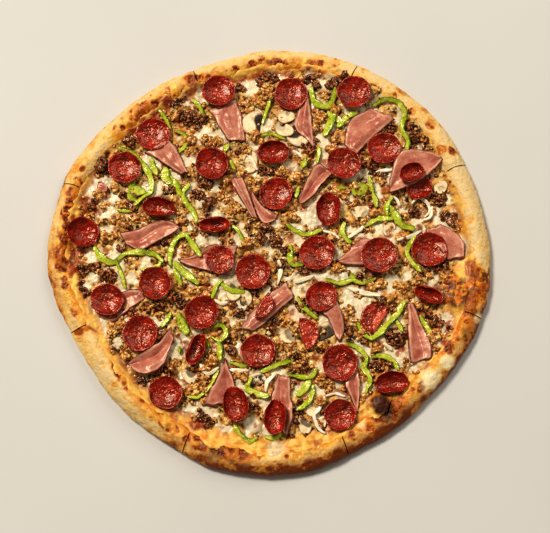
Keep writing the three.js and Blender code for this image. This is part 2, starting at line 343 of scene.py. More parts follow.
class Shader:
    """A material under construction, with short calls that add and join its nodes."""

    def __init__(self, name: str) -> None:
        """Starts a material with a Principled surface.

        Args:
            name: the material's name.
        """
        self.material = bpy.data.materials.new(name)
        self.material.use_nodes = True
        self.tree = self.material.node_tree
        self.surface = self.tree.nodes["Principled BSDF"]

    def node(self, kind: str, inputs: dict | None = None, **settings: object) -> bpy.types.Node:
        """Adds a node of a kind, as add_node does."""
        return add_node(self.tree, kind, inputs, **settings)

    def place(self) -> Socket:
        """The place on the object, in metres."""
        return self.node("ShaderNodeTexCoord").outputs["Object"]

    def mask(self, name: str) -> Socket:
        """The mask of that name painted on the mesh."""
        return self.node("ShaderNodeAttribute", attribute_name=name).outputs["Fac"]

    def mixed(self, share: object, first: object, second: object) -> Socket:
        """Two colours or their sockets mixed, with a share from 0 to 1 of the second."""
        return self.node("ShaderNodeMix", {"Factor": share, 6: first, 7: second}, data_type="RGBA").outputs[2]

    def maths(self, what: str, first: object, second: object = 0.0) -> Socket:
        """The result of an operation on two numbers or their sockets, kept from 0 to 1."""
        made = self.node("ShaderNodeMath", {0: first, 1: second}, operation=what, use_clamp=True)
        return made.outputs[0]

    def times(self, first: object, second: object) -> Socket:
        """The product of two numbers or their sockets, kept from 0 to 1."""
        return self.maths("MULTIPLY", first, second)

    def between(self, share: Socket, low: float, high: float) -> Socket:
        """A number that runs from low to high as the share runs from 0 to 1."""
        return self.node("ShaderNodeMapRange", {"Value": share, "To Min": low, "To Max": high}).outputs[0]

    def step(self, value: Socket, low: float, high: float) -> Socket:
        """A mask that rises from 0 where the value is low to 1 where it is high."""
        return self.ramp(value, [(low, (0, 0, 0, 1)), (high, (1, 1, 1, 1))])

    def ramp(self, value: Socket, stops: list[tuple[float, tuple]]) -> Socket:
        """Colours along a scale.

        Args:
            value: where on the scale, from 0 to 1.
            stops: places on the scale with their colours.

        Returns:
            The colour's socket.
        """
        made = self.node("ShaderNodeValToRGB", {0: value})
        band = made.color_ramp
        while len(band.elements) < len(stops):
            band.elements.new(0.5)
        for element, (at, colour) in zip(band.elements, stops):
            element.position = at
            element.color = colour
        return made.outputs[0]

    def patches(self, size: float, share: float, soft: float = 0.08, seed: float = 0.0) -> Socket:
        """A mask of uneven patches of a size in millimetres that cover a share of the surface."""
        values = {"Place": self.place(), "Size": size * MM, "Share": share, "Soft": soft, "Seed": seed}
        return self.node("ShaderNodeGroup", values, node_tree=patches_group()).outputs[0]

    def grain(self, size: float, depth: float, normal: Socket | None = None) -> Socket:
        """Fine relief of the surface.

        Args:
            size: size of the grain in millimetres.
            depth: its depth in millimetres.
            normal: the relief it lies on, if any.

        Returns:
            The normal's socket.
        """
        values = {"Place": self.place(), "Size": size * MM, "Depth": depth * MM}
        if normal is not None:
            values["Normal"] = normal
        return self.node("ShaderNodeGroup", values, node_tree=grain_group()).outputs[0]

    def raised(self, mask: Socket, depth: float, normal: Socket) -> Socket:
        """Relief that lifts the places in a mask by a depth in millimetres, over the relief it lies on."""
        values = {"Height": mask, "Distance": depth * MM, "Normal": normal}
        return self.node("ShaderNodeBump", values).outputs[0]

    def finish(self, **sockets: object) -> Material:
        """The material, with the surface's sockets set or joined by name, with _ in a name for a space."""
        join(self.tree, self.surface, {name.replace("_", " "): value for name, value in sockets.items()})
        return self.material


def join(tree: Tree, node: bpy.types.Node, inputs: dict) -> None:
    """Sets a node's inputs to values, or joins them to output sockets.

    Args:
        tree: the tree the node is in.
        node: the node.
        inputs: by socket name or number, a value or an output socket.
    """
    for key, value in inputs.items():
        if isinstance(value, Socket):
            tree.links.new(value, node.inputs[key])
        else:
            node.inputs[key].default_value = value


def add_node(tree: Tree, kind: str, inputs: dict | None = None, **settings: object) -> bpy.types.Node:
    """Adds a node to a tree.

    Args:
        tree: the tree.
        kind: the node's type.
        inputs: by socket name or number, a value to set or an output socket to join.
        settings: properties of the node.

    Returns:
        The node.
    """
    made = tree.nodes.new(kind)
    for name, value in settings.items():
        setattr(made, name, value)
    join(tree, made, inputs or {})
    return made


def new_group(name: str, inputs: dict[str, str], outputs: dict[str, str]) -> tuple:
    """Starts a node group with named sockets.

    Args:
        name: the group's name.
        inputs: socket types by name.
        outputs: socket types by name.

    Returns:
        The tree, its input node and its output node.
    """
    tree = bpy.data.node_groups.new(name, "ShaderNodeTree")
    for socket, kind in inputs.items():
        tree.interface.new_socket(socket, in_out="INPUT", socket_type=kind)
    for socket, kind in outputs.items():
        tree.interface.new_socket(socket, in_out="OUTPUT", socket_type=kind)
    return tree, tree.nodes.new("NodeGroupInput"), tree.nodes.new("NodeGroupOutput")


def patches_group() -> Tree:
    """The group that makes uneven patches: noise, cut off so that it covers a share of the surface.

    Returns:
        The group's tree.
    """
    found = bpy.data.node_groups.get("patches")
    if found:
        return found
    inputs = {"Place": "NodeSocketVector"}
    inputs.update({name: "NodeSocketFloat" for name in ("Size", "Share", "Soft", "Seed")})
    tree, given, out = new_group("patches", inputs, {"Mask": "NodeSocketFloat"})
    place, seed = given.outputs["Place"], given.outputs["Seed"]
    fine = add_node(tree, "ShaderNodeMath", {0: 1.0, 1: given.outputs["Size"]}, operation="DIVIDE")
    texture = add_node(
        tree, "ShaderNodeTexNoise",
        {"Vector": place, "W": seed, "Scale": fine.outputs[0], "Detail": 4.0}, noise_dimensions="4D")
    spread = add_node(tree, "ShaderNodeMath", {0: given.outputs["Share"], 1: -0.36}, operation="MULTIPLY")
    level = add_node(tree, "ShaderNodeMath", {0: spread.outputs[0], 1: 0.68}, operation="ADD")
    ends = {0: level.outputs[0], 1: given.outputs["Soft"]}
    low = add_node(tree, "ShaderNodeMath", ends, operation="SUBTRACT")
    high = add_node(tree, "ShaderNodeMath", ends, operation="ADD")
    cut = add_node(
        tree, "ShaderNodeMapRange",
        {"Value": texture.outputs[0], "From Min": low.outputs[0], "From Max": high.outputs[0]},
        interpolation_type="SMOOTHSTEP")
    tree.links.new(cut.outputs[0], out.inputs[0])
    return tree


def grain_group() -> Tree:
    """The group that makes fine relief: noise of a size and depth as a bumped normal.

    Returns:
        The group's tree.
    """
    found = bpy.data.node_groups.get("grain")
    if found:
        return found
    inputs = {"Place": "NodeSocketVector", "Size": "NodeSocketFloat", "Depth": "NodeSocketFloat"}
    inputs["Normal"] = "NodeSocketVector"
    tree, given, out = new_group("grain", inputs, {"Normal": "NodeSocketVector"})
    fine = add_node(tree, "ShaderNodeMath", {0: 1.0, 1: given.outputs["Size"]}, operation="DIVIDE")
    texture = add_node(
        tree, "ShaderNodeTexNoise",
        {"Vector": given.outputs["Place"], "Scale": fine.outputs[0], "Detail": 1.5, "Roughness": 0.45})
    bump = add_node(
        tree, "ShaderNodeBump",
        {"Height": texture.outputs[0], "Distance": given.outputs["Depth"], "Strength": 1.0,
         "Normal": given.outputs["Normal"]})
    tree.links.new(bump.outputs[0], out.inputs[0])
    return tree


@dataclass(frozen=True)
class CrustFinish:
    """Baked dough, cream to brown, that turns into oily yellow and orange baked cheese on its inner half; its
    browns also paint shade on the side away from the light, and its white paints highlights.
    """

    # White for the painted highlights on the rim.
    painted_highlight: tuple = srgb(255, 240, 192)
    pale: tuple = srgb(230, 198, 142)
    cream: tuple = srgb(236, 194, 118)
    golden: tuple = srgb(220, 148, 58)
    brown: tuple = srgb(140, 62, 14)
    dark: tuple = srgb(62, 26, 8)
    burnt: tuple = srgb(30, 12, 8)
    yellow: tuple = srgb(244, 198, 96)
    amber: tuple = srgb(234, 158, 50)
    orange: tuple = srgb(220, 110, 10)
    puffed: tuple = srgb(240, 164, 30)
    flush: tuple = srgb(210, 112, 26)
    halo: tuple = srgb(176, 84, 20)
    crisp: tuple = srgb(90, 26, 4)
    sauce: tuple = srgb(124, 20, 4)

    def material(self) -> Material:
        """Makes the finish.

        Returns:
            The material, which reads the masks that the crust's surface gives.
        """
        s = Shader("crust_finish")
        speckle = s.patches(2.2, 0.4, 0.12, 1.0)
        blotch = s.patches(11, 0.45, 0.16, 2.0)
        wander = s.maths("ADD", s.times(speckle, 0.16), s.times(blotch, 0.3))
        # The toast mask is real browning and painted shade, so these browns paint shade too.
        toast = s.maths("SUBTRACT", s.maths("ADD", s.mask("toast"), wander), 0.18)
        stops = [(0, self.pale), (0.22, self.cream), (0.5, self.golden), (0.76, self.brown), (1, self.dark)]
        baked = s.ramp(toast, stops)
        dots = s.maths("SUBTRACT", s.times(s.patches(2.4, 0.4, 0.08, 3.0), 0.4), toast)
        baked = s.mixed(dots, baked, self.pale)
        uneven = s.maths("ADD", s.times(s.patches(7, 0.45, 0.22, 5.0), 0.5), 0.48)
        depth = s.times(s.mask("lapped"), uneven)
        stops = [(0, self.pale), (0.4, self.yellow), (0.72, self.amber), (1, self.orange)]
        cheese = s.ramp(depth, stops)
        cheese = s.mixed(s.times(s.patches(3.4, 0.3, 0.08, 6.0), 0.5), cheese, self.golden)
        cheese = s.mixed(s.times(toast, 0.6), cheese, self.brown)
        puffed = s.mixed(s.patches(7, 0.6, 0.12, 8.0), self.puffed, self.orange)
        puffed = s.mixed(s.patches(6, 0.54, 0.05, 9.0), puffed, self.crisp)
        cheese = s.mixed(s.mask("orange"), cheese, puffed)
        baked = s.mixed(s.step(depth, 0.02, 0.2), baked, cheese)
        flush = s.times(s.mask("flush"), s.patches(4, 0.9, 0.3, 10.0))
        baked = s.mixed(flush, baked, self.flush)
        baked = s.mixed(s.mask("sauce"), baked, self.sauce)
        crisp = s.times(s.mask("crisp"), s.patches(2.8, 0.7, 0.2, 7.0))
        baked = s.mixed(s.step(crisp, 0.04, 0.4), baked, self.halo)
        baked = s.mixed(s.step(crisp, 0.4, 0.95), baked, self.crisp)
        # Painted highlight: bright white spots on the rim.
        baked = s.mixed(s.mask("painted_highlight"), baked, self.painted_highlight)
        char = s.times(s.mask("char"), s.patches(5, 0.9, 0.15, 4.0))
        colour = s.mixed(char, baked, self.burnt)
        gloss = s.maths("SUBTRACT", s.mask("lapped"), s.times(s.mask("orange"), 0.5))
        gloss = s.maths("ADD", gloss, s.mask("painted_highlight"))
        normal = s.raised(crisp, 0.4, s.grain(6.0, 2.0, s.grain(1.8, 0.5)))
        return s.finish(
            Base_Color=colour, Roughness=s.between(gloss, 0.6, 0.3), Normal=normal, Specular_IOR_Level=0.4,
            Specular_Tint=(1.0, 0.82, 0.56, 1.0))


@dataclass(frozen=True)
class CheeseFinish:
    """Melted cheese: white where it ran together, oily and toasted elsewhere, with sauce showing through, and
    painted shade in its creases and under the beef heaps.
    """

    white: tuple = srgb(240, 224, 188)
    cream: tuple = srgb(236, 198, 120)
    golden: tuple = srgb(212, 132, 40)
    # Oil, and painted shade, in the creases between the lumps.
    oil: tuple = srgb(58, 18, 4)
    # Real toasting, and painted shade under the beef heaps.
    toasted: tuple = srgb(46, 14, 3)
    sauce: tuple = srgb(150, 28, 4)
    yellow: tuple = srgb(244, 198, 96)
    orange: tuple = srgb(226, 138, 38)
    baked: tuple = srgb(216, 104, 8)
    crisp: tuple = srgb(96, 28, 4)
    puffed: tuple = srgb(240, 160, 28)

    def material(self) -> Material:
        """Makes the finish.

        Returns:
            The material, which reads the masks that the cheese bed gives.
        """
        s = Shader("cheese_finish")
        base = s.mixed(s.mask("golden"), self.cream, self.golden)
        base = s.mixed(s.times(s.patches(2.6, 0.4, 0.08, 1.0), 0.5), base, self.golden)
        base = s.mixed(s.mask("pit_oil_and_shade"), base, self.oil)
        base = s.mixed(s.mask("white"), base, self.white)
        border = s.mixed(s.patches(8, 0.4, 0.15, 5.0), self.yellow, self.orange)
        base = s.mixed(s.mask("rim"), base, border)
        baked = s.mixed(s.patches(7, 0.6, 0.12, 8.0), self.puffed, self.baked)
        baked = s.mixed(s.patches(6, 0.54, 0.05, 9.0), baked, self.crisp)
        base = s.mixed(s.mask("puff"), base, baked)
        base = s.mixed(s.mask("dimple"), base, self.crisp)
        sauce = s.times(s.mask("sauce"), s.patches(6, 0.8, 0.12, 3.0))
        base = s.mixed(sauce, base, self.sauce)
        toast = s.times(s.patches(2.8, 0.6, 0.08, 2.0), s.mask("toast"))
        base = s.mixed(toast, base, self.toasted)
        dull = s.maths("ADD", s.patches(5, 0.5, 0.2, 4.0), s.mask("rim"))
        return s.finish(
            Base_Color=base, Roughness=s.between(dull, 0.16, 0.48), Normal=s.grain(5.0, 1.3),
            Specular_Tint=(1.0, 0.86, 0.66, 1.0))


@dataclass(frozen=True)
class PepperoniFinish:
    """Cured sausage: deep red with fat specks, a darker edge and a wet shine of oil."""

    red: tuple = srgb(170, 22, 6)
    deep: tuple = srgb(80, 4, 2)
    fat: tuple = srgb(226, 96, 40)
    edge: tuple = srgb(156, 30, 8)
    back: tuple = srgb(206, 88, 62)

    def material(self) -> Material:
        """Makes the finish.

        Returns:
            The material, which reads the masks edge and back.
        """
        s = Shader("pepperoni_finish")
        base = s.mixed(s.patches(9, 0.5, 0.22, 1.0), self.red, self.deep)
        base = s.mixed(s.times(s.patches(2.6, 0.45, 0.06, 4.0), 0.55), base, self.deep)
        specks = s.times(s.patches(1.6, 0.22, 0.05, 2.0), 0.55)
        base = s.mixed(specks, base, self.fat)
        base = s.mixed(s.mask("edge"), base, self.edge)
        base = s.mixed(s.mask("back"), base, self.back)
        rough = s.between(s.patches(4, 0.5, 0.2, 3.0), 0.2, 0.38)
        normal = s.grain(4.4, 1.7, s.grain(1.7, 0.5))
        return s.finish(
            Base_Color=base, Roughness=rough, Normal=normal, Coat_Weight=0.13, Coat_Roughness=0.12,
            Specular_IOR_Level=1.0, Specular_Tint=(1.0, 0.48, 0.32, 1.0))


@dataclass(frozen=True)
class HamFinish:
    """Cooked ham: moist pink with paler grain that is also a painted highlight, a pale rim and a redder,
    drier edge.
    """

    pink: tuple = srgb(162, 72, 58)
    pale: tuple = srgb(214, 144, 116)
    rim: tuple = srgb(240, 190, 158)
    edge: tuple = srgb(92, 12, 6)

    def material(self) -> Material:
        """Makes the finish.

        Returns:
            The material, which reads the masks edge and rim.
        """
        s = Shader("ham_finish")
        # Paler grain, and painted highlight.
        base = s.mixed(s.patches(12, 0.5, 0.3, 1.0), self.pink, self.pale)
        base = s.mixed(s.times(s.patches(2.2, 0.4, 0.12, 2.0), 0.22), base, self.edge)
        base = s.mixed(s.times(s.mask("rim"), s.patches(6, 0.7, 0.25, 4.0)), base, self.rim)
        dried = s.times(s.mask("edge"), s.patches(5, 0.9, 0.25, 3.0))
        base = s.mixed(dried, base, self.edge)
        normal = s.grain(9.0, 1.2, s.grain(2.0, 0.12))
        return s.finish(
            Base_Color=base, Roughness=0.3, Normal=normal, Specular_IOR_Level=0.6,
            Specular_Tint=(1.0, 0.74, 0.58, 1.0))


@dataclass(frozen=True)
class PepperFinish:
    """Green pepper: darker skin on one side, pale flesh on the other, with pale patches that are also a
    painted highlight.
    """

    flesh: tuple = srgb(168, 186, 16)
    pale: tuple = srgb(222, 216, 92)
    skin: tuple = srgb(84, 108, 4)

    def material(self) -> Material:
        """Makes the finish.

        Returns:
            The material, which reads the masks skin and rim.
        """
        s = Shader("pepper_finish")
        # Pale patches: flesh, and painted highlight.
        base = s.mixed(s.patches(5, 0.42, 0.2, 1.0), self.flesh, self.pale)
        base = s.mixed(s.times(s.mask("rim"), 0.35), base, self.skin)
        base = s.mixed(s.mask("skin"), base, self.skin)
        base = s.mixed(s.times(s.patches(2.0, 0.3, 0.06, 3.0), 0.45), base, self.skin)
        normal = s.grain(3.0, 0.8, s.grain(1.2, 0.15))
        return s.finish(Base_Color=base, Roughness=0.2, Normal=normal, Specular_Tint=(1.0, 0.95, 0.7, 1.0))


@dataclass(frozen=True)
class OnionFinish:
    """White onion, glassy from baking."""

    glassy: tuple = srgb(244, 224, 176)
    white: tuple = srgb(255, 248, 226)

    def material(self) -> Material:
        """Makes the finish.

        Returns:
            The material.
        """
        s = Shader("onion_finish")
        base = s.mixed(s.patches(5, 0.5, 0.2, 1.0), self.glassy, self.white)
        return s.finish(Base_Color=base, Roughness=0.25, Normal=s.grain(1.5, 0.12))


@dataclass(frozen=True)
class MushroomFinish:
    """Sliced mushroom: pale flesh, brown gills and a tan outer skin."""

    flesh: tuple = srgb(246, 226, 180)
    tan: tuple = srgb(178, 122, 62)
    gills: tuple = srgb(46, 22, 12)

    def material(self) -> Material:
        """Makes the finish.

        Returns:
            The material, which reads the masks gills and skin.
        """
        s = Shader("mushroom_finish")
        base = s.mixed(s.times(s.patches(5, 0.35, 0.15, 1.0), 0.6), self.flesh, self.tan)
        base = s.mixed(s.mask("skin"), base, self.tan)
        base = s.mixed(s.mask("gills"), base, self.gills)
        return s.finish(Base_Color=base, Roughness=0.55, Normal=s.grain(1.6, 0.3), Specular_IOR_Level=0.3)


@dataclass(frozen=True)
class MeatFinish:
    """Crumbled ground meat with light fat, dark crisp spots and painted shade in its creases."""

    name: str
    light: tuple
    base: tuple
    dark: tuple

    def material(self) -> Material:
        """Makes the finish.

        Returns:
            The material, which reads the mask of painted shade in the creases.
        """
        s = Shader(self.name)
        colour = s.mixed(s.patches(5, 0.4, 0.14, 1.0), self.base, self.dark)
        colour = s.mixed(s.patches(2.6, 0.4, 0.08, 2.0), colour, self.light)
        # Painted shade: the creases between the lumps darkened.
        colour = s.mixed(s.times(s.mask("crease"), 0.7), colour, self.dark)
        return s.finish(
            Base_Color=colour, Roughness=0.25, Normal=s.grain(1.6, 0.5), Specular_IOR_Level=0.7,
            Specular_Tint=(1.0, 0.84, 0.66, 1.0))


@dataclass(frozen=True)
class FloorFinish:
    """Plain pale floor."""

    pale: tuple = srgb(214, 211, 205)
    shade: tuple = srgb(208, 205, 199)

    def material(self) -> Material:
        """Makes the finish.

        Returns:
            The material.
        """
        s = Shader("floor_finish")
        base = s.mixed(s.patches(400, 0.5, 0.3), self.pale, self.shade)
        return s.finish(Base_Color=base, Roughness=0.8)


@dataclass(frozen=True)
class Blister:
    """A place on the rim that rose or browned more than the rest, seen in the view at x and y.

    A lapped below zero paints the place white instead, as a painted highlight.
    """

    x: float
    y: float
    radius: float
    rise: float = 0.0
    toast: float = 0.0
    char: float = 0.0
    lapped: float = 0.0
    sauce: float = 0.0
    orange: float = 0.0


@dataclass
class Outline:
    """The outline and the crest of the dough, measured on the CAD slices."""

    bins: int = 360
    # The outline's unevenness in millimetres, and the radius of the circle of noise that it is read from.
    uneven: float = 1.8
    noise_radius: float = 100.0

    def __post_init__(self) -> None:
        """Reads the outermost radius and the greatest height of the CAD dough in each direction."""
        slices = [node for name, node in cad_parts.items() if name.startswith("crust_slice")]
        points = np.concatenate([np.array([v.co for v in node.data.vertices]) for node in slices]) / MM
        bearing = bearing_of(points)
        radius = np.hypot(points[:, 0], points[:, 1])
        steps = (bearing / 360 * self.bins).astype(int) % self.bins
        self.bearings = (np.arange(self.bins) + 0.5) * 360 / self.bins
        self.radii = self._filled(steps, radius, radius > 0.8 * radius.max())
        turn = np.radians(self.bearings)
        circle = flat_places(self.noise_radius * np.cos(turn), self.noise_radius * np.sin(turn))
        self.radii += self.uneven * relief(circle, 26, 2, 45)
        self.crests = self._filled(steps, points[:, 2], points[:, 2] > 0.7 * points[:, 2].max())

    def _filled(self, steps: Array, values: Array, wanted: Array) -> Array:
        """The greatest wanted value near each direction, evened out.

        Args:
            steps: the direction of each value, as a bin's number.
            values: the values.
            wanted: which of them count.

        Returns:
            One value for each bin.
        """
        most = np.zeros(self.bins)
        np.maximum.at(most, steps[wanted], values[wanted])
        near = np.stack([np.roll(most, k) for k in range(-3, 4)]).max(axis=0)
        return np.stack([np.roll(near, k) for k in range(-3, 4)]).mean(axis=0)

    def radius(self, bearing: Array) -> Array:
        """Outer radius in millimetres in directions given in degrees."""
        return np.interp(bearing, self.bearings, self.radii, period=360)

    def crest(self, bearing: Array) -> Array:
        """Height of the rim in millimetres in directions given in degrees."""
        return np.interp(bearing, self.bearings, self.crests, period=360)


@dataclass
class Crust:
    """The dough in eight slices: a thin base in a puffed, blistered rim."""

    outline: Outline
    base: float = 5.0
    mean_crest: float = 18.0
    crossing: tuple[float, float] = (-4.0, 5.5)
    cuts: tuple = (23.5, 64, 111.5, 161.6, 204, 248.5, 291.5, 341.6)
    cut_width: float = 0.9
    # A face's size along the rim. It, the distance to a cut and the outline are measured at these radii.
    step: float = 1.35
    step_radius: float = 220.0
    cut_radius: float = 210.0
    search_radius: float = 215.0
    section_points: int = 58
    # How wide and deep the rim is drawn in at a cut.
    pinch_width: float = 3.5
    pinch_depths: tuple[float, float] = (1.2, 0.8)
    # The rim in section: distance inwards from the outline and height, from the underside over the crest.
    section: tuple = (
        (9, 0), (4.5, 0.4), (1.2, 2.6), (0, 6.2), (1.2, 9.8), (4.4, 13.4), (8.8, 16.4), (13.4, 18),
        (17.8, 17.2), (21.6, 14.8), (25, 11.6), (28, 9), (32, 6.4), (37, 5))
    # How brown the dough is, by direction in degrees: real browning and painted shade, most at the bottom and
    # lower right, which face away from the light, and some on the upper left to tone down its light.
    browning_and_shade: tuple = (
        (0, 30, 60, 90, 120, 160, 190, 215, 235, 250, 270, 300, 325, 340, 350),
        (0.03, 0, 0.02, 0.08, 0.1, 0.18, 0.24, 0, 0.06, 0.34, 0.36, 0.42, 0.22, 0.36, 0.14))
    # How far from the outline the baked cheese begins, by direction in degrees.
    lap_start: tuple = (
        (0, 9, 15, 23, 31, 38, 46, 54, 64, 75, 95, 107, 113, 118, 130, 142, 146, 155, 160, 170, 180, 198,
         205, 214, 219, 232, 245, 260, 285, 300, 306, 314, 322, 334, 339, 346, 356),
        (19, 22, 21, 23, 22, 18, 17, 15, 13, 8, 7, 9, 4, 8, 6, 8, 22, 25, 10, 7, 5, 5, 15, 17, 14, 9, 8, 8,
         9, 8, 4, 6, 7, 7, 3, 4, 8))
    # How crisp the baked cheese is, by direction in degrees.
    crisping: tuple = (
        (0, 25, 32, 42, 55, 78, 88, 105, 113, 118, 128, 140, 146, 155, 162, 180, 190, 202, 208, 215, 221,
         232, 244, 252, 262, 268, 285, 295, 304, 312, 318, 330, 338, 346, 356),
        (0.2, 0, 0.3, 0.3, 0, 0.4, 0.5, 0.2, 0.5, 0.15, 0.45, 0.3, 0.1, 0, 0.7, 1, 0.3, 0.4, 0, 0.2, 0.9,
         0.3, 0.4, 1, 0.8, 0.1, 0, 0.2, 0.9, 0.7, 0.2, 0.1, 0.9, 0.8, 0.4))
    # How far from the outline the toppings begin, by direction in degrees.
    topping_start: tuple = (
        (0, 22, 30, 40, 60, 75, 95, 112, 130, 148, 155, 175, 186, 200, 210, 220, 240, 250, 260, 288, 295,
         300, 306, 312, 320, 330, 338, 343, 346, 352, 356),
        (24, 22, 20, 16, 16, 20, 26, 22, 26, 20, 25, 24, 27, 28, 25, 27, 30, 33, 36, 33, 32, 36, 38, 34, 24,
         22, 22, 30, 41, 41, 36))
    # How much sauce shows where the rim meets the toppings, by direction in degrees.
    sauce_line: tuple = (
        (0, 20, 30, 60, 75, 110, 116, 124, 145, 150, 160, 168, 185, 196, 210, 218, 240, 250, 262, 285, 292,
         300, 340),
        (0.2, 0.6, 0.1, 0.1, 0.8, 0.7, 0.4, 0.9, 0.9, 0.1, 0.3, 1, 0.9, 0.4, 0, 0.6, 0.6, 0.5, 0, 0.1, 0.2,
         0, 0.2))
    blisters: tuple = tuple(Blister(*row) for row in (
        (466, 287, 31, 1.8, 0.1, 0, 1, 0, 1), (464, 268, 12, 1, 0.1, 0, 0.9, 0, 0.5),
        (470, 308, 12, 0.8, 0.2, 0.2, 1, 0, 0.6), (477, 275, 7, 0.3, 0.7, 0.3, 1),
        (474, 300, 9, 0.3, 0.5, 0.2, 1), (458, 290, 14, 3, 0.1, 0, 1, 0, 0.9),
        (480, 317, 8, 1, -0.3, 0, -0.8), (386, 409, 14, 4, 0.8, 1, 0.3), (390, 420, 15, 1, 0.8, 0.2),
        (376, 416, 8, 2, 0.6, 0.7), (470, 336, 10, 0.5, 0.8, 0.3, 0.5), (476, 330, 8, 0.5, 0.8, 0.2),
        (216, 450, 12, 1, 0.5, 0.55), (204, 440, 8, 1, 0.4, 0.2), (232, 455, 9, 0.6, 0.5, 0.2),
        (470, 222, 6, 1.2, 0.5), (487, 226, 4, 0.3, 0.5), (63, 262, 10, 0.6, 0.4, 0, 1, 0.6),
        (72, 250, 8, 0, 0.3, 0, 1, 0.9), (80, 245, 8, 0, 0.2, 0, 1, 0.8), (264, 62, 7, 1.6, 0.5, 0, 0.3),
        (254, 64, 5, 1.2, 0.45, 0, 0.2), (274, 59, 4, 1.2, 0.5), (309, 64, 7, 1.4, 0.4, 0, 0.8),
        (214, 72, 4, 1, 0.4), (340, 54, 4, 0.8, 0.4), (119, 130, 11, 1.2, 0.2, 0, 0.7),
        (150, 108, 12, 1.2, 0.2, 0, 1, 0.3), (142, 113, 6, 0.6, 0.4, 0.1, 1, 0.7),
        (167, 103, 8, 0.4, 0.1, 0, 1, 0.7), (192, 78, 9, 0.5, 0.3, 0, 1, 0.5), (83, 170, 4, 1, 0.7),
        (76, 181, 4, 1.2, 0.5, 0, 0.8), (93, 325, 9, 0, 0.2, 0, 1, 0.8), (80, 331, 6, 0.3, 0.3, 0, 1, 0.7),
        (105, 366, 6, 0.8, 0.3), (125, 368, 12, 1.5, 0.3, 0, 1), (196, 421, 9, 0, 0, 0, 1, 0.8),
        (170, 428, 6, 1, 0.4, 0.1, 1), (240, 447, 7, 1, 0.4, 0.2, 0.8), (306, 445, 4, 0.6, 0.3),
        (333, 432, 8, 0.4, 0.2, 0, 1, 0.6), (370, 425, 8, 1.4, 0.1, 0, 1), (400, 413, 12, 0.4, 0.6, 0.2),
        (441, 150, 8, 1, 0.4, 0, 1, 0.3), (452, 152, 6, 0.5, 0.7, 0.1, 0.5),
        (430, 125, 7, 1.2, 0.2, 0, 0.6), (405, 92, 6, 0.5, 0.6, 0, 0.6), (425, 108, 5, 0.5, 0.6, 0, 0.6),
        (412, 112, 6, 1, 0.3, 0, 0.9), (392, 96, 6, 0.8, 0.3, 0, 0.7), (430, 378, 13, 1.6, -0.6, 0, -1),
        (447, 361, 10, 1.4, -0.6, 0, -1), (276, 450, 12, 1.4, -0.6, 0, -1), (86, 329, 5, 0, 0.7, 0, 1),
        (360, 423, 8, 1.2, -0.5, 0, -0.5), (300, 440, 9, 1.2, -0.4, 0, -0.3),
        (250, 447, 8, 1, -0.4, 0, -0.3), (470, 248, 9, 1.2, -0.3, 0, -0.3),
        (120, 98, 12, 1.4, -0.2, 0, -0.2)))

    def build(self) -> None:
        """Makes the eight slices."""
        finish = CrustFinish().material()
        for number, start in enumerate(self.cuts):
            end = self.cuts[(number + 1) % len(self.cuts)]
            name = f"crust_slice_{number + 1}"
            parts = Patchwork()
            self._slice(parts, start, end if end > start else end + 360)
            parts.piece(name + "_baked", finish, (name,))

    def _slice(self, parts: Patchwork, start: float, end: float) -> None:
        """Adds one slice of dough to a mesh.

        Args:
            parts: the mesh it is added to.
            start: direction of its first cut in degrees.
            end: direction of its second cut in degrees.
        """
        half = math.radians(end - start) / 2
        middle = math.radians(start + end) / 2
        back = self.cut_width / 2 / math.sin(half)
        tip = np.array(self.crossing) + back * np.array([math.cos(middle), math.sin(middle)])
        steps = int(math.radians(end - start) * self.step_radius / self.step)
        turn = np.radians(np.linspace(start, end, steps))
        aim = np.stack([np.cos(turn), np.sin(turn)], axis=1)
        reach = np.full(steps, self.search_radius)
        for _ in range(4):
            spot = tip + reach[:, None] * aim
            bearing = bearing_of(spot)
            reach += self.outline.radius(bearing) - np.hypot(spot[:, 0], spot[:, 1])
        profile = spline(self.section, self.section_points)
        slope = np.gradient(profile, axis=0)
        slope /= np.linalg.norm(slope, axis=1, keepdims=True)
        inset, height = profile[:, 0][:, None], profile[:, 1][:, None]
        side = np.minimum(turn - turn[0], turn[-1] - turn) * self.cut_radius
        pinch = np.exp(-(side / self.pinch_width) ** 2)
        higher = self.outline.crest(bearing) - self.mean_crest - self.pinch_depths[0] * pinch
        height = height + eased(height, self.base, self.mean_crest) * higher
        run = reach[None, :] - inset - 0 * height
        flat = self._laid(tip, run, aim, height)
        rise, masks = self._surface(flat, np.broadcast_to(inset, height.shape).ravel())
        rise = rise.reshape(height.shape) * eased(height, 0.3, 5.0)
        rise -= self.pinch_depths[1] * pinch * eased(height, 3, 12)
        run = run + rise * slope[:, 1][:, None]
        points = self._laid(tip, run, aim, np.maximum(height - rise * slope[:, 0][:, None], 0))
        rows = len(profile)
        ends = np.array([[*tip, self.base], [*tip, 0.0]])
        top, low = len(points), len(points) + 1
        first = np.arange(steps)
        last = (rows - 1) * steps + first
        over = np.stack([last[:-1], last[1:], np.full(steps - 1, top)], axis=1)
        under = np.stack([first[1:], first[:-1], np.full(steps - 1, low)], axis=1)
        loop = np.arange(rows) * steps
        near = np.concatenate([[low], loop, [top]])[None, ::-1]
        far = np.concatenate([[low], loop + steps - 1, [top]])[None, :]
        faces = [grid_faces(rows, steps), over, under, near, far]
        masks = {mask: np.concatenate([values, [0.2, 0.2]]) for mask, values in masks.items()}
        parts.add(np.vstack([points, ends]), faces, **masks)

    @staticmethod
    def _laid(tip: Array, run: Array, aim: Array, height: Array) -> Array:
        """Points at runs from a slice's tip in the directions of aim, one row each."""
        return np.stack([tip[0] + run * aim[:, 0], tip[1] + run * aim[:, 1], height], axis=2).reshape(-1, 3)

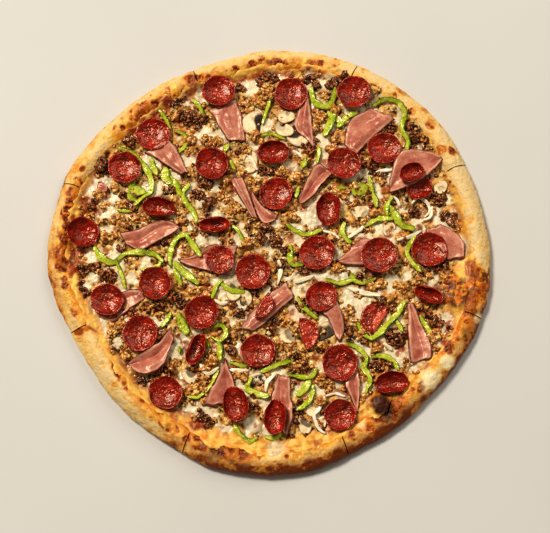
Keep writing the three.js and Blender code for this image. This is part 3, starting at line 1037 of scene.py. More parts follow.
    def _surface(self, points: Array, inset: Array) -> tuple:
        """Relief and browning of the dough's surface, with painted shade on the side away from the light and
        painted highlights.

        Args:
            points: places on the smooth rim.
            inset: their distance inwards from the outline.

        Returns:
            The rise in millimetres, and the masks by name.
        """
        bearing = bearing_of(points)
        start = np.interp(bearing, *self.lap_start, period=360)
        ragged = inset + 4.5 * relief(points, 13, 3, 9)
        lapped = eased(ragged, start - 3, start + 13)
        spotted = (1 - lapped) * eased(relief(points, 9, 3, 6), 0.55, 0.75)
        wander = 1 + 0.4 * relief(points, 9, 2, 8)
        swell, baked, char, sauce, orange, painted_highlight = (np.zeros(len(points)) for _ in range(6))
        above = eased(points[:, 2], 3, 6)
        for spot in self.blisters:
            centre = VIEW.on_pizza(spot.x, spot.y, 16.0)
            away = np.hypot(points[:, 0] - centre[0], points[:, 1] - centre[1]) / spot.radius * wander
            near = (1 - eased(away, 0.25, 1.1)) * above
            swell += spot.rise * near
            baked += spot.toast * near
            char = np.maximum(char, spot.char * near)
            # A lapped below zero paints a highlight there.
            painted_highlight = np.maximum(painted_highlight, -spot.lapped * eased(near, 0.0, 0.9))
            sauce = np.maximum(sauce, spot.sauce * eased(near, 0.1, 0.6))
            lapped = np.maximum(lapped, spot.lapped * eased(near, 0.1, 0.5))
            lapped *= 1 + min(0, spot.lapped) * near
            orange = np.maximum(orange, spot.orange * eased(near, 0.1, 0.4))
        lumps = billow(points, 9, 2, 10)
        rise = 1.3 * relief(points, 34, 2, 1) + 0.8 * relief(points, 12, 2, 2)
        baked_lumps = lapped * (1.6 * lumps - 0.7) * (1 - 0.8 * orange)
        rise += 0.3 * relief(points, 4.5, 2, 3) + baked_lumps + swell
        # Painted shade: browning by direction and on the outer flank darkens the bottom and lower right,
        # which face away from the light, over real browning.
        browning_and_shade = np.interp(bearing, *self.browning_and_shade, period=360)
        flank_brown_and_shade = eased(inset, 12, 2) * eased(points[:, 2], 16, 7) * (0.7 + relief(points, 20, 3, 30))
        underside = eased(points[:, 2], 2.0, 0.5)
        browned = browning_and_shade * (1 + 0.9 * eased(inset, 16, 5) + 1.2 * flank_brown_and_shade)
        toast = browned + 0.1 * underside + baked + 0.3 * spotted
        toast += 0.22 * relief(points, 30, 3, 4) + 0.16 * relief(points, 8, 2, 5)
        crisping = np.interp(bearing, *self.crisping, period=360)
        level = lumps + 0.6 * relief(points, 16, 2, 11) + 0.8 * crisping + 0.4 * baked
        pits = orange * eased(billow(points, 3.4, 1, 12), 0.44, 0.14)
        rise -= 0.5 * pits
        crisp = eased(lapped, 0.15, 0.5) * (1 - 0.6 * orange) * eased(level, 1.12, 1.78)
        crisp = np.maximum(crisp, 0.8 * pits)
        flush = eased(lapped, 0.02, 0.4) * (1 - orange) * eased(relief(points, 13, 3, 29), -0.5, 0.35)
        flush = flush * np.minimum(1.7 * crisping, 1)
        border = eased(inset, 20, 26) * eased(relief(points, 14, 2, 23), -0.5, 0.1)
        sauce = np.maximum(sauce, 0.9 * border * self.sauce_shown(points))
        char = np.maximum(char, 0.5 * eased(relief(points, 14, 3, 7), 0.5, 0.8) * underside)
        masks = {
            "toast": toast, "lapped": lapped, "orange": 0.95 * orange, "crisp": crisp, "sauce": sauce,
            "char": char, "painted_highlight": 0.65 * painted_highlight, "flush": flush}
        return rise, {name: np.clip(mask, 0, 1) for name, mask in masks.items()}

    def toppings_from(self, places: Array) -> Array:
        """How far from the outline the toppings begin at places in millimetres."""
        return np.interp(bearing_of(places), *self.topping_start, period=360)

    def sauce_shown(self, places: Array) -> Array:
        """How much sauce shows along the rim's inner side near places in millimetres."""
        return np.interp(bearing_of(places), *self.sauce_line, period=360)

    def slope(self, places: Array, inset: Array) -> Array:
        """Height of the rim's inner side.

        Args:
            places: places in millimetres.
            inset: their distances inwards from the outline.

        Returns:
            A height for each place.
        """
        crest = max(range(len(self.section)), key=lambda k: self.section[k][1])
        height = np.interp(inset, *np.transpose(self.section[crest:]))
        higher = self.outline.crest(bearing_of(places)) - self.mean_crest
        return height + eased(height, self.base, self.mean_crest) * higher


@dataclass
class CheeseBed:
    """The melted cheese, with its relief, white patches, toasted spots, sauce and painted shade."""

    outline: Outline
    crust: Crust
    level: float = 10.0
    pitch: float = 1.25
    shore: float = 20.5
    # White patches by place in the view and radius.
    white_patches: tuple = (
        (105, 212, 9), (114, 197, 8), (101, 203, 6), (106, 229, 6), (90, 256, 9), (117, 247, 5),
        (131, 278, 7), (94, 275, 6), (181, 340, 8), (146, 388, 7), (190, 413, 10), (160, 318, 7),
        (118, 341, 6), (182, 376, 6), (207, 409, 8), (252, 425, 9), (245, 347, 5), (354, 299, 12),
        (346, 272, 10), (391, 287, 8), (388, 280, 7), (408, 275, 7), (403, 333, 6), (446, 322, 10),
        (440, 332, 8), (381, 229, 8), (397, 232, 7), (437, 215, 9), (249, 86, 11), (258, 80, 5),
        (199, 88, 6), (217, 135, 9), (206, 133, 7), (146, 158, 7), (155, 190, 8), (188, 160, 8),
        (252, 172, 8), (293, 168, 7), (321, 84, 6), (369, 172, 5), (297, 150, 7), (215, 187, 6),
        (190, 190, 7), (201, 240, 8), (214, 241, 7), (300, 282, 7), (287, 337, 6), (322, 366, 6),
        (358, 344, 8), (366, 350, 6), (412, 368, 6), (403, 355, 4), (262, 400, 5), (318, 412, 5),
        (343, 395, 5), (84, 285, 5), (98, 318, 6), (175, 228, 5), (312, 219, 10), (304, 213, 7),
        (320, 226, 7), (349, 297, 11), (336, 150, 5), (276, 222, 6), (248, 239, 5), (222, 312, 5))
    # Sauce showing through, by place in the view and radius.
    sauce_patches: tuple = (
        (88, 333, 10), (78, 250, 8), (92, 208, 8), (84, 200, 7), (432, 326, 6), (127, 130, 6),
        (330, 428, 7), (445, 300, 6), (190, 84, 7), (300, 84, 5), (197, 424, 9), (420, 310, 8),
        (168, 104, 7), (402, 348, 6), (210, 388, 5), (385, 200, 5), (448, 345, 7), (72, 268, 7))
    # Where the rim's puffs reach over the cheese, and a dark bubble in it, by place in the view and radius.
    puffs: tuple = ((457, 293, 19), (452, 281, 9), (382, 404, 13))
    bubble: tuple = (382, 405, 11)
    # Half the side of the grid that the cheese is cut from.
    half: float = 215.0

    def __post_init__(self) -> None:
        """Finds how high the cheese may reach under each large topping."""
        self.caps = []
        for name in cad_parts:
            if name.startswith(("pepperoni", "ham")):
                low, high = node_box(name)
                self.caps.append((*(low + high)[:2] / 2, *(high - low)[:2] / 2, low[2] - 0.4))

    def height(self, x: Array, y: Array) -> Array:
        """Height of the cheese at places in millimetres.

        Args:
            x: places across.
            y: places away from the viewer.

        Returns:
            Heights in millimetres.
        """
        places = flat_places(x, y)
        puff = self._near(places, self.puffs, (0, 9, 2, 25))
        height = 0.9 * relief(places, 22, 2, 11)
        height += (2.6 * self._lumps(places) - 1.8) * (1 - 0.8 * self.whiteness(places)) * (1 - 0.8 * puff)
        inset = self.inset(places)
        start = self.crust.toppings_from(places)
        lap = eased(inset, start + 4, start - 6)
        height *= 1 - 0.4 * lap
        height += self.level + 2.8 * lap * (1 + 0.6 * relief(places, 12, 2, 14))
        height += 3.5 * puff
        for middle_x, middle_y, half_x, half_y, cap in self.caps:
            away = np.hypot((places[:, 0] - middle_x) / half_x, (places[:, 1] - middle_y) / half_y)
            height = np.where(away < 1.05, np.minimum(height, cap + 4 * eased(away, 0.75, 1.05)), height)
        return height.reshape(np.shape(x))

    def ground(self, x: Array, y: Array) -> Array:
        """Height of whatever toppings lie on, which is the cheese or the rim's inner side.

        Args:
            x: places across.
            y: places away from the viewer.

        Returns:
            Heights in millimetres.
        """
        places = flat_places(x, y)
        slope = self.crust.slope(places, self.inset(places)).reshape(np.shape(x))
        return np.maximum(self.height(x, y), slope - 0.3)

    def inset(self, places: Array) -> Array:
        """Distance of places inwards from the outline."""
        return self.outline.radius(bearing_of(places)) - np.hypot(places[:, 0], places[:, 1])

    def whiteness(self, places: Array) -> Array:
        """How white the cheese is at places, from 0 to 1."""
        patches = self._near(places, self.white_patches, (0.6, 7, 3, 15))
        return np.maximum(patches, 0.9 * eased(relief(places, 14, 3, 19), 0.1, 0.34))

    @staticmethod
    def _lumps(places: Array) -> Array:
        """The lumps of the cheese, from about 0 in the creases to 1.5."""
        return billow(places, 7, 2, 13)

    def build(self) -> None:
        """Makes the cheese as one piece that stands for its CAD node."""
        finish = CheeseFinish().material()
        line = np.arange(-self.half, self.half + 0.1, self.pitch)
        x, y = np.meshgrid(line, line, indexing="xy")
        places = flat_places(x, y)
        inset = self.inset(places)
        # The cheese climbs the rim's inner side up to an uneven shore.
        shore = self.shore + 5.0 * relief(places, 14, 3, 27)
        inside = inset > shore - 2.5
        climb = self.crust.slope(places, inset) + 0.5
        top = self.height(places[:, 0], places[:, 1])
        top = np.where(inset < 34, np.maximum(top, climb), top) - 2.2 * eased(inset, shore + 1.5, shore - 2.5)
        faces = grid_faces(len(line), len(line))
        kept = faces[inside[faces].all(axis=1)]
        used = np.unique(kept)
        number = np.full(len(inside), -1)
        number[used] = np.arange(len(used))
        masks = self._masks(places[used], inset[used])
        parts = Patchwork()
        parts.add(np.column_stack([places[used, :2], top[used]]), [number[kept]], **masks)
        parts.piece("cheese_melted", finish, ("cheese_bed",))

    def _masks(self, places: Array, inset: Array) -> dict[str, Array]:
        """Where the cheese is white, golden, baked like the rim, toasted, oily or puffed, or shows the sauce,
        and where shade and highlights are painted on it.

        Args:
            places: places on the cheese, all at height 0.
            inset: their distance inwards from the outline.

        Returns:
            The masks by name.
        """
        lumps = self._lumps(places)
        white = self.whiteness(places)
        sauce = 0.9 * self._near(places, self.sauce_patches, (0.6, 7, 3, 22))
        start = self.crust.toppings_from(places) + 4 * relief(places, 11, 3, 16)
        rim = eased(inset, start + 5, start - 2)
        edge = eased(inset, start + 7, start + 3) * eased(inset, start - 3, start + 1)
        edge *= self.crust.sauce_shown(places)
        sauce = np.maximum(sauce, edge * eased(relief(places, 16, 2, 24), -0.4, 0.1))
        sauce = np.maximum(sauce, 0.7 * eased(relief(places, 12, 3, 20), 0.45, 0.65))
        # Painted highlight: the rim's painted highlights go on as white on the cheese.
        gleams = tuple((spot.x, spot.y, spot.radius) for spot in self.crust.blisters if spot.lapped <= -1)
        gleam = 0.75 * self._near(places, gleams, (0.4, 9, 2, 8))
        rim *= 1 - gleam
        white = np.maximum(white * (1 - 0.8 * sauce) * (1 - 0.9 * rim), gleam)
        # Painted shade: the creases between the lumps darkened, as oil and shade.
        pit_oil_and_shade = 0.95 * eased(lumps, 0.7, 0.26) * (1 - 0.8 * white) * (1 - rim)
        toast = eased(lumps + 0.6 * relief(places, 25, 2, 18), 0.9, 1.4)
        # Painted shade under the beef heaps, carried in the toast mask.
        heaps = self._near(places, BEEF_HEAPS, (0.5, 7, 3, 26))
        toast = np.maximum(toast, 0.9 * heaps)
        toast = toast * (1 - 0.8 * white) * (1 - rim)
        golden = np.clip(0.4 + 0.6 * relief(places, 18, 3, 21), 0, 1)
        bubble = self._near(places, (self.bubble,), (0.4, 6, 2, 28))
        toast = np.maximum(toast, bubble)
        rim = 0.9 * rim * (1 - sauce)
        puff = self._near(places, self.puffs, (0.3, 9, 2, 25))
        toast = toast * (1 - 0.8 * puff * (1 - bubble))
        dimple = np.maximum(0.85 * puff * eased(billow(places, 3.4, 1, 12), 0.44, 0.14), bubble)
        sauce = sauce * (1 - puff)
        return {
            "white": white, "golden": golden, "rim": rim, "toast": toast, "pit_oil_and_shade": pit_oil_and_shade, "sauce": sauce,
            "puff": 0.95 * puff, "dimple": dimple}

    @staticmethod
    def _near(places: Array, patches: tuple, uneven: tuple) -> Array:
        """How much places lie in patches.

        Args:
            places: places in millimetres.
            patches: places in the view with radii.
            uneven: how uneven the patches' edges are, then the size, layers and seed of the relief in them.

        Returns:
            A mask from 0 to 1.
        """
        share, size, layers, seed = uneven
        ragged = 1 + share * relief(places, size, layers, seed)
        most = np.zeros(len(places))
        for x, y, radius in patches:
            centre = VIEW.on_pizza(x, y)
            away = np.hypot(places[:, 0] - centre[0], places[:, 1] - centre[1]) / radius
            most = np.maximum(most, 1 - eased(away * ragged, 0.6, 1.1))
        return most


@dataclass(frozen=True)
class Pepperoni:
    """One slice of pepperoni: how far and about which line it is rolled, how its edge curls up, and its lean.

    A fold turns it over from that share of its radius on, and back is how pale the side then on top is.
    """

    bend: float = 0.0
    axis: float = 0.0
    cup: float = 1.0
    lean: float = 0.0
    toward: float = 0.0
    fold: float = 1.0
    back: float = 0.9


@dataclass
class PepperoniSlices:
    """The slices of pepperoni, each where its CAD node is."""

    thickness: float = 1.8
    curl: float = 5.6
    fold_radius: float = 1.6
    rings: int = 12
    sides: int = 48
    # The slices that aren't plain, by number.
    special: dict = field(default_factory=lambda: {
        4: Pepperoni(cup=1.4), 5: Pepperoni(0.7, 0), 7: Pepperoni(1.0, -10),
        8: Pepperoni(cup=1.5, lean=20, toward=172), 9: Pepperoni(1.2, 5), 10: Pepperoni(cup=0.6),
        16: Pepperoni(0.7, 80), 17: Pepperoni(0.6, 20), 18: Pepperoni(0.3, 15), 23: Pepperoni(cup=1.3),
        25: Pepperoni(cup=1.3), 26: Pepperoni(1.25, 70), 29: Pepperoni(0.6, 100), 30: Pepperoni(0.9, 85),
        31: Pepperoni(0, 152, 0.4, fold=-0.1, back=0.2), 33: Pepperoni(0, 192, 0.4, fold=-0.05, back=0.2),
        34: Pepperoni(0, -35, 0.15, fold=0.25), 35: Pepperoni(1.15, -20), 37: Pepperoni(0.9, 5)})

    def build(self) -> None:
        """Makes each slice as a piece of its own."""
        finish = PepperoniFinish().material()
        nodes = sorted(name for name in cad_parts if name.startswith("pepperoni"))
        for number, name in enumerate(nodes, start=1):
            low, high = node_box(name)
            shape = self.special.get(number, Pepperoni())
            parts = Patchwork()
            self._slice(parts, low, high, shape, number)
            parts.piece(name + "_slice", finish, (name,))

    def _slice(self, parts: Patchwork, low: Array, high: Array, shape: Pepperoni, number: int) -> None:
        """Adds one slice to a mesh.

        Args:
            parts: the mesh it is added to.
            low: lowest corner of its CAD node's box.
            high: highest corner of its CAD node's box.
            shape: how it is bent.
            number: its number, which picks its unevenness.
        """
        turn = math.radians(shape.axis)
        wide = max(high[0] - low[0], high[1] - low[1]) / 2
        share = np.linspace(0, 1, self.rings) ** 0.8
        angle = ring_angles(self.sides)
        uneven = 1 + 0.025 * np.sin(2 * angle + number) + 0.015 * np.sin(5 * angle + 2.3 * number)
        distance = wide * 0.985 * share[:, None] * uneven[None, :]
        x, y = distance * np.cos(angle), distance * np.sin(angle)
        places = flat_places(x, y, 9.0 * number)
        edge = np.broadcast_to(share[:, None], x.shape)
        wavy = 1 + 0.5 * np.sin(3 * angle + 1.7 * number) + 0.3 * np.sin(7 * angle + number)
        rise = self.curl * shape.cup * (0.65 * edge ** 2 + 0.3 * edge ** 6 * wavy)
        rise += 0.45 * relief(places, 9, 3, 21).reshape(x.shape)
        full = self.thickness * np.sqrt(np.clip(1 - eased(edge, 0.9, 1.02) ** 2, 0.05, 1))
        middle = rise + self.thickness / 2
        sheets = [middle + full / 2, middle - full / 2]
        points = np.concatenate([np.stack([x, y, z], axis=2).reshape(-1, 3) for z in sheets])
        back = np.zeros(len(points))
        if shape.fold < 1:
            along, across = turned(points[:, 0], points[:, 1], -turn)
            past = np.maximum(along - shape.fold * wide, 0)
            way = np.minimum(past / self.fold_radius, math.pi)
            rest = past - way * self.fold_radius
            arm = self.fold_radius - points[:, 2]
            along = np.minimum(along, shape.fold * wide) + arm * np.sin(way) - rest
            points = np.stack([*turned(along, across, turn), self.fold_radius - arm * np.cos(way)], axis=1)
            back = shape.back * eased(way, 1.2, 2.0)
        if shape.bend > 0:
            roll = wide / shape.bend
            along, across = turned(points[:, 0], points[:, 1], -turn)
            arm = roll - points[:, 2]
            across, lifted = arm * np.sin(across / roll), roll - arm * np.cos(across / roll)
            points = np.stack([*turned(along, across, turn), lifted], axis=1)
        heading = math.radians(shape.toward)
        along, aside = turned(points[:, 0], points[:, 1], -heading)
        tipped, lifted = turned(along, points[:, 2], math.radians(shape.lean))
        points = np.stack([*turned(tipped, aside, heading), lifted], axis=1)
        middle = (points.min(axis=0) + points.max(axis=0)) / 2
        centre = (low + high) / 2
        points += [centre[0] - middle[0], centre[1] - middle[1], low[2] - 0.3 - points[:, 2].min()]
        mask = np.tile(0.75 * eased(edge, 0.9, 1.0).ravel(), 2)
        parts.add(points, disc_faces(self.rings, self.sides), edge=mask, back=back)


@dataclass(frozen=True)
class Ham:
    """One piece of ham: its left and right side in the view from its start to its end, and its fold.

    A ridge below zero is the depth of a trough, and crest moves the fold off the middle.
    """

    left: tuple
    right: tuple
    ridge: float = 4.0
    crest: float = 0.0
    lift: float = 0.0

    def sides(self, count: int) -> tuple[Array, Array]:
        """Its left and right side in millimetres, each as count points."""
        lines = ([VIEW.on_pizza(x, y) for x, y in side] for side in (self.left, self.right))
        return tuple(spline(line, count) for line in lines)


@dataclass
class HamPieces:
    """The torn and folded pieces of ham. The first ones stand where their CAD nodes are."""

    thickness: float = 1.2
    ground: float = 10.8
    rows: int = 42
    columns: int = 24
    pieces: tuple = tuple(Ham(*row) for row in (
        (((236, 98), (240, 110), (245, 130), (246, 142)),
         ((209, 110), (215, 120), (221, 131), (228, 140)), 3, -0.1),
        (((395, 119), (386, 127), (370, 141), (357, 155)),
         ((370, 108), (355, 116), (346, 129), (344, 146)), 4, 0.15),
        (((443, 161), (427, 177), (403, 190), (390, 194)),
         ((438, 157), (425, 152), (398, 155), (388, 187)), -3, 0.1),
        (((336, 172), (323, 185), (311, 199), (302, 206)),
         ((320, 164), (312, 170), (304, 186), (297, 203)), -5, 0.1),
        (((243, 176), (248, 190), (253, 204), (259, 223)),
         ((230, 180), (234, 188), (242, 202), (252, 218)), 5),
        (((120, 234), (141, 228), (164, 220), (180, 226)),
         ((127, 245), (141, 251), (161, 241), (180, 229)), -5, 0.1),
        (((177, 259), (194, 255), (214, 245), (238, 246)),
         ((178, 262), (190, 267), (206, 271), (230, 277)), -4, 0.1),
        (((338, 260), (350, 249), (366, 238), (397, 246)),
         ((339, 264), (352, 265), (370, 265), (397, 262)), 3),
        (((126, 363), (143, 352), (160, 341), (171, 327)),
         ((133, 371), (146, 375), (163, 366), (174, 340)), -6, 0.1),
        (((240, 328), (251, 313), (268, 295), (287, 281)),
         ((254, 332), (264, 325), (278, 312), (294, 298)), 6, -0.1),
        (((413, 303), (421, 321), (431, 343), (431, 358)),
         ((407, 303), (407, 318), (408, 340), (410, 364)), -4, 0.1),
        (((226, 359), (231, 372), (236, 387), (232, 404)),
         ((224, 359), (218, 376), (208, 395), (205, 406)), -4, 0.1),
        (((291, 378), (291, 394), (293, 414), (288, 436)),
         ((277, 374), (273, 390), (272, 405), (283, 434)), -4, -0.1)))
    small: tuple = tuple(Ham(*row) for row in (
        (((170, 139), (178, 152), (184, 163), (189, 173)),
         ((144, 152), (155, 158), (166, 165), (181, 175)), 4, 0.1),
        (((308, 92), (311, 110), (313, 130), (315, 149)),
         ((304, 93), (294, 126), (304, 137), (314, 149)), 4, 0.1),
        (((251, 189), (258, 200), (266, 208), (279, 216)),
         ((249, 191), (253, 204), (262, 223), (274, 222)), -4),
        (((442, 225), (456, 232), (464, 243), (465, 258)),
         ((424, 229), (430, 240), (440, 250), (447, 260)), 3, 0.2),
        (((90, 305), (108, 298), (125, 290), (140, 289)),
         ((97, 314), (112, 322), (131, 308), (146, 298)), -2, 0, -2.5),
        (((338, 299), (342, 313), (345, 328), (342, 340)),
         ((320, 312), (328, 319), (333, 332), (338, 341)), 3, 0.1),
        (((358, 365), (360, 382), (360, 397), (358, 413)),
         ((344, 378), (346, 388), (350, 398), (356, 413)), -4),
        (((98, 182), (104, 183), (109, 186)), ((96, 190), (102, 193), (108, 192)), 2)))

    def build(self) -> None:
        """Makes the large pieces, one for each CAD node, and the small ones as one piece."""
        finish = HamFinish().material()
        nodes = sorted(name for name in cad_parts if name.startswith("ham"))
        for number, (name, ham) in enumerate(zip(nodes, self.pieces)):
            parts = Patchwork()
            self._sheet(parts, ham, node_box(name)[0][2], number)
            parts.piece(name + "_sheet", finish, (name,))
        parts = Patchwork()
        for number, ham in enumerate(self.small):
            self._sheet(parts, ham, self.ground + ham.lift, 20 + number)
        parts.piece("ham_small_pieces", finish)

    def _sheet(self, parts: Patchwork, ham: Ham, base: float, number: int) -> None:
        """Adds one piece of ham to a mesh.

        Args:
            parts: the mesh it is added to.
            ham: its shape.
            base: height of its lowest point.
            number: its number, which picks its unevenness.
        """
        left, right = ham.sides(self.rows)
        s = np.linspace(0, 1, self.rows)[:, None]
        t = np.linspace(-0.5, 0.5, self.columns)[None, :]
        flat = right[:, None, :] * (0.5 - t)[..., None] + left[:, None, :] * (0.5 + t)[..., None]
        places = flat_places(flat[..., 0], flat[..., 1], 5.0 * number)
        shape = flat.shape[:2]
        torn = np.stack([relief(places, 7, 3, seed).reshape(shape) for seed in (31, 33)], axis=2)
        rim = np.maximum(np.abs(2 * t) ** 5, np.abs(2 * s - 1) ** 5)
        flat = flat + 1.5 * torn * rim[..., None]
        way = t - ham.crest - 0.12 * np.sin(3 * s + number)
        fold = np.exp(-np.sqrt(way ** 2 + 0.003) / 0.22) * (0.6 + 1.6 * s * (1 - s))
        second = t - 0.34 * math.sin(2.3 * number + 1) - 0.15 * np.sin(4 * s + 2 * number)
        height = ham.ridge * fold
        height += 1.6 * math.cos(1.9 * number) * np.exp(-np.sqrt(second ** 2 + 0.001) / 0.09)
        height += 1.6 * relief(places, 17, 2, 32).reshape(shape)
        height += 0.6 * billow(places, 13, 1, 34).reshape(shape)
        height += rim * np.sin(9 * s + 7 * t + number)
        height -= height.min()
        width = np.linalg.norm(left - right, axis=1)[:, None]
        length = np.linalg.norm(np.diff((left + right) / 2, axis=0), axis=1).sum()
        slope = np.gradient(height, axis=1) / (width / self.columns + 0.05)
        steep = np.sqrt(1 + np.clip(slope, -2.5, 2.5) ** 2)
        edge_way = np.minimum(np.minimum(s, 1 - s) * length, np.minimum(t + 0.5, 0.5 - t) * width)
        full = self.thickness * steep * (0.3 + 0.7 * eased(edge_way, 0, 0.8))
        top = np.concatenate([flat, (base + height + full)[..., None]], axis=2).reshape(-1, 3)
        bottom = np.concatenate([flat, (base + height)[..., None]], axis=2).reshape(-1, 3)
        count = len(top)
        upper = grid_faces(*shape)
        number_at = np.arange(count).reshape(shape)
        loop = np.concatenate([
            number_at[0, :-1], number_at[:-1, -1], number_at[-1, :0:-1], number_at[:0:-1, 0]])
        edge = (1 - eased(edge_way, 0.7, 1.7)).ravel()
        rim = 0.8 * (eased(edge_way, 0.8, 1.6) * (1 - eased(edge_way, 1.8, 4.0))).ravel()
        faces = [upper[:, ::-1], upper + count, wall(loop, count)]
        parts.add(np.vstack([top, bottom]), faces, edge=np.tile(edge, 2), rim=np.tile(rim, 2))


@dataclass(frozen=True)
class Strip:
    """A strip of vegetable: its line in the view, and its greatest width, height and lift in millimetres."""

    line: tuple
    width: float = 5.0
    height: float = 2.6
    lift: float = 0.0


@dataclass
class Strips:
    """Strips of one kind of vegetable, swept along their lines and gathered in one piece."""

    name: str
    strips: tuple
    bed: CheeseBed
    breadth: float = 0.86
    slender: float = 0.5
    ragged: float = 0.34
    wander: float = 0.9
    sides: int = 14
    pitch: float = 1.2

    def build(self, finish: Material) -> None:
        """Makes the strips as one piece.

        Args:
            finish: their material.
        """
        parts = Patchwork()
        for number, strip in enumerate(self.strips):
            self._sweep(parts, strip, number)
        parts.piece(self.name, finish)

    def _sweep(self, parts: Patchwork, strip: Strip, number: int) -> None:
        """Adds one strip to a mesh: a flat ribbon, widest in the middle, with one side of skin.

        Args:
            parts: the mesh it is added to.
            strip: its line and section.
            number: its number, which picks its unevenness.
        """
        line = np.array([VIEW.on_pizza(x, y) for x, y in strip.line])
        length = np.linalg.norm(np.diff(line, axis=0), axis=1).sum()
        count = max(8, int(length / self.pitch))
        path = spline(line, count)
        s = np.linspace(0, 1, count)
        marks = flat_places(s * length, np.full(count, 7.7 * number))
        path = path + self.wander * np.stack(
            [relief(marks, 9, 2, 61), relief(marks, 9, 2, 62)], axis=1)
        floor = self.bed.ground(path[:, 0], path[:, 1])
        ground = np.convolve(np.pad(floor, 5, mode="edge"), np.ones(11) / 11, mode="valid")
        middle = ground + 1.0 + strip.height * 0.5 + strip.lift + relief(marks, 14, 2, 63)
        ahead = np.gradient(path, axis=0)
        ahead /= np.linalg.norm(ahead, axis=1, keepdims=True)
        aside = np.stack([-ahead[:, 1], ahead[:, 0]], axis=1)
        belly = self.slender + (1 - self.slender) * np.sin(math.pi * s) ** 0.8
        wide = self.breadth / 2 * strip.width * belly * (1 + self.ragged * relief(marks, 4, 2, 64))
        ends = eased(np.minimum(s, 1 - s) * length, -0.6, 0.6)
        tilt = 0.7 * relief(marks, 16, 2, 65) + 0.3
        angle = ring_angles(self.sides)
        u, v = (np.sign(way) * np.abs(way) ** 0.45 for way in (np.cos(angle), np.sin(angle)))
        curl = 0.8 * relief(marks, 11, 2, 66)[:, None]
        reach, rise = wide[:, None] * u, strip.height / 2 * (0.8 * v + curl * u ** 2)
        reach, rise = reach * ends[:, None], rise * (0.4 + 0.6 * ends[:, None])
        level, steep = np.cos(tilt)[:, None], np.sin(tilt)[:, None]
        across, above = reach * level - rise * steep, reach * steep + rise * level
        points = np.stack([
            path[:, 0][:, None] + across * aside[:, 0][:, None],
            path[:, 1][:, None] + across * aside[:, 1][:, None],
            middle[:, None] + above], axis=2).reshape(-1, 3)
        skin = np.tile(eased(np.cos(angle), 0.25, 0.85), count)
        rim = np.tile(eased(np.abs(np.cos(angle)), 0.6, 0.98), count)
        ring = np.arange(self.sides)
        caps = [ring[None, :], (ring + (count - 1) * self.sides)[None, ::-1]]
        faces = grid_faces(count, self.sides, around=True)
        parts.add(points, [faces[:, ::-1], *caps], skin=skin, rim=rim)


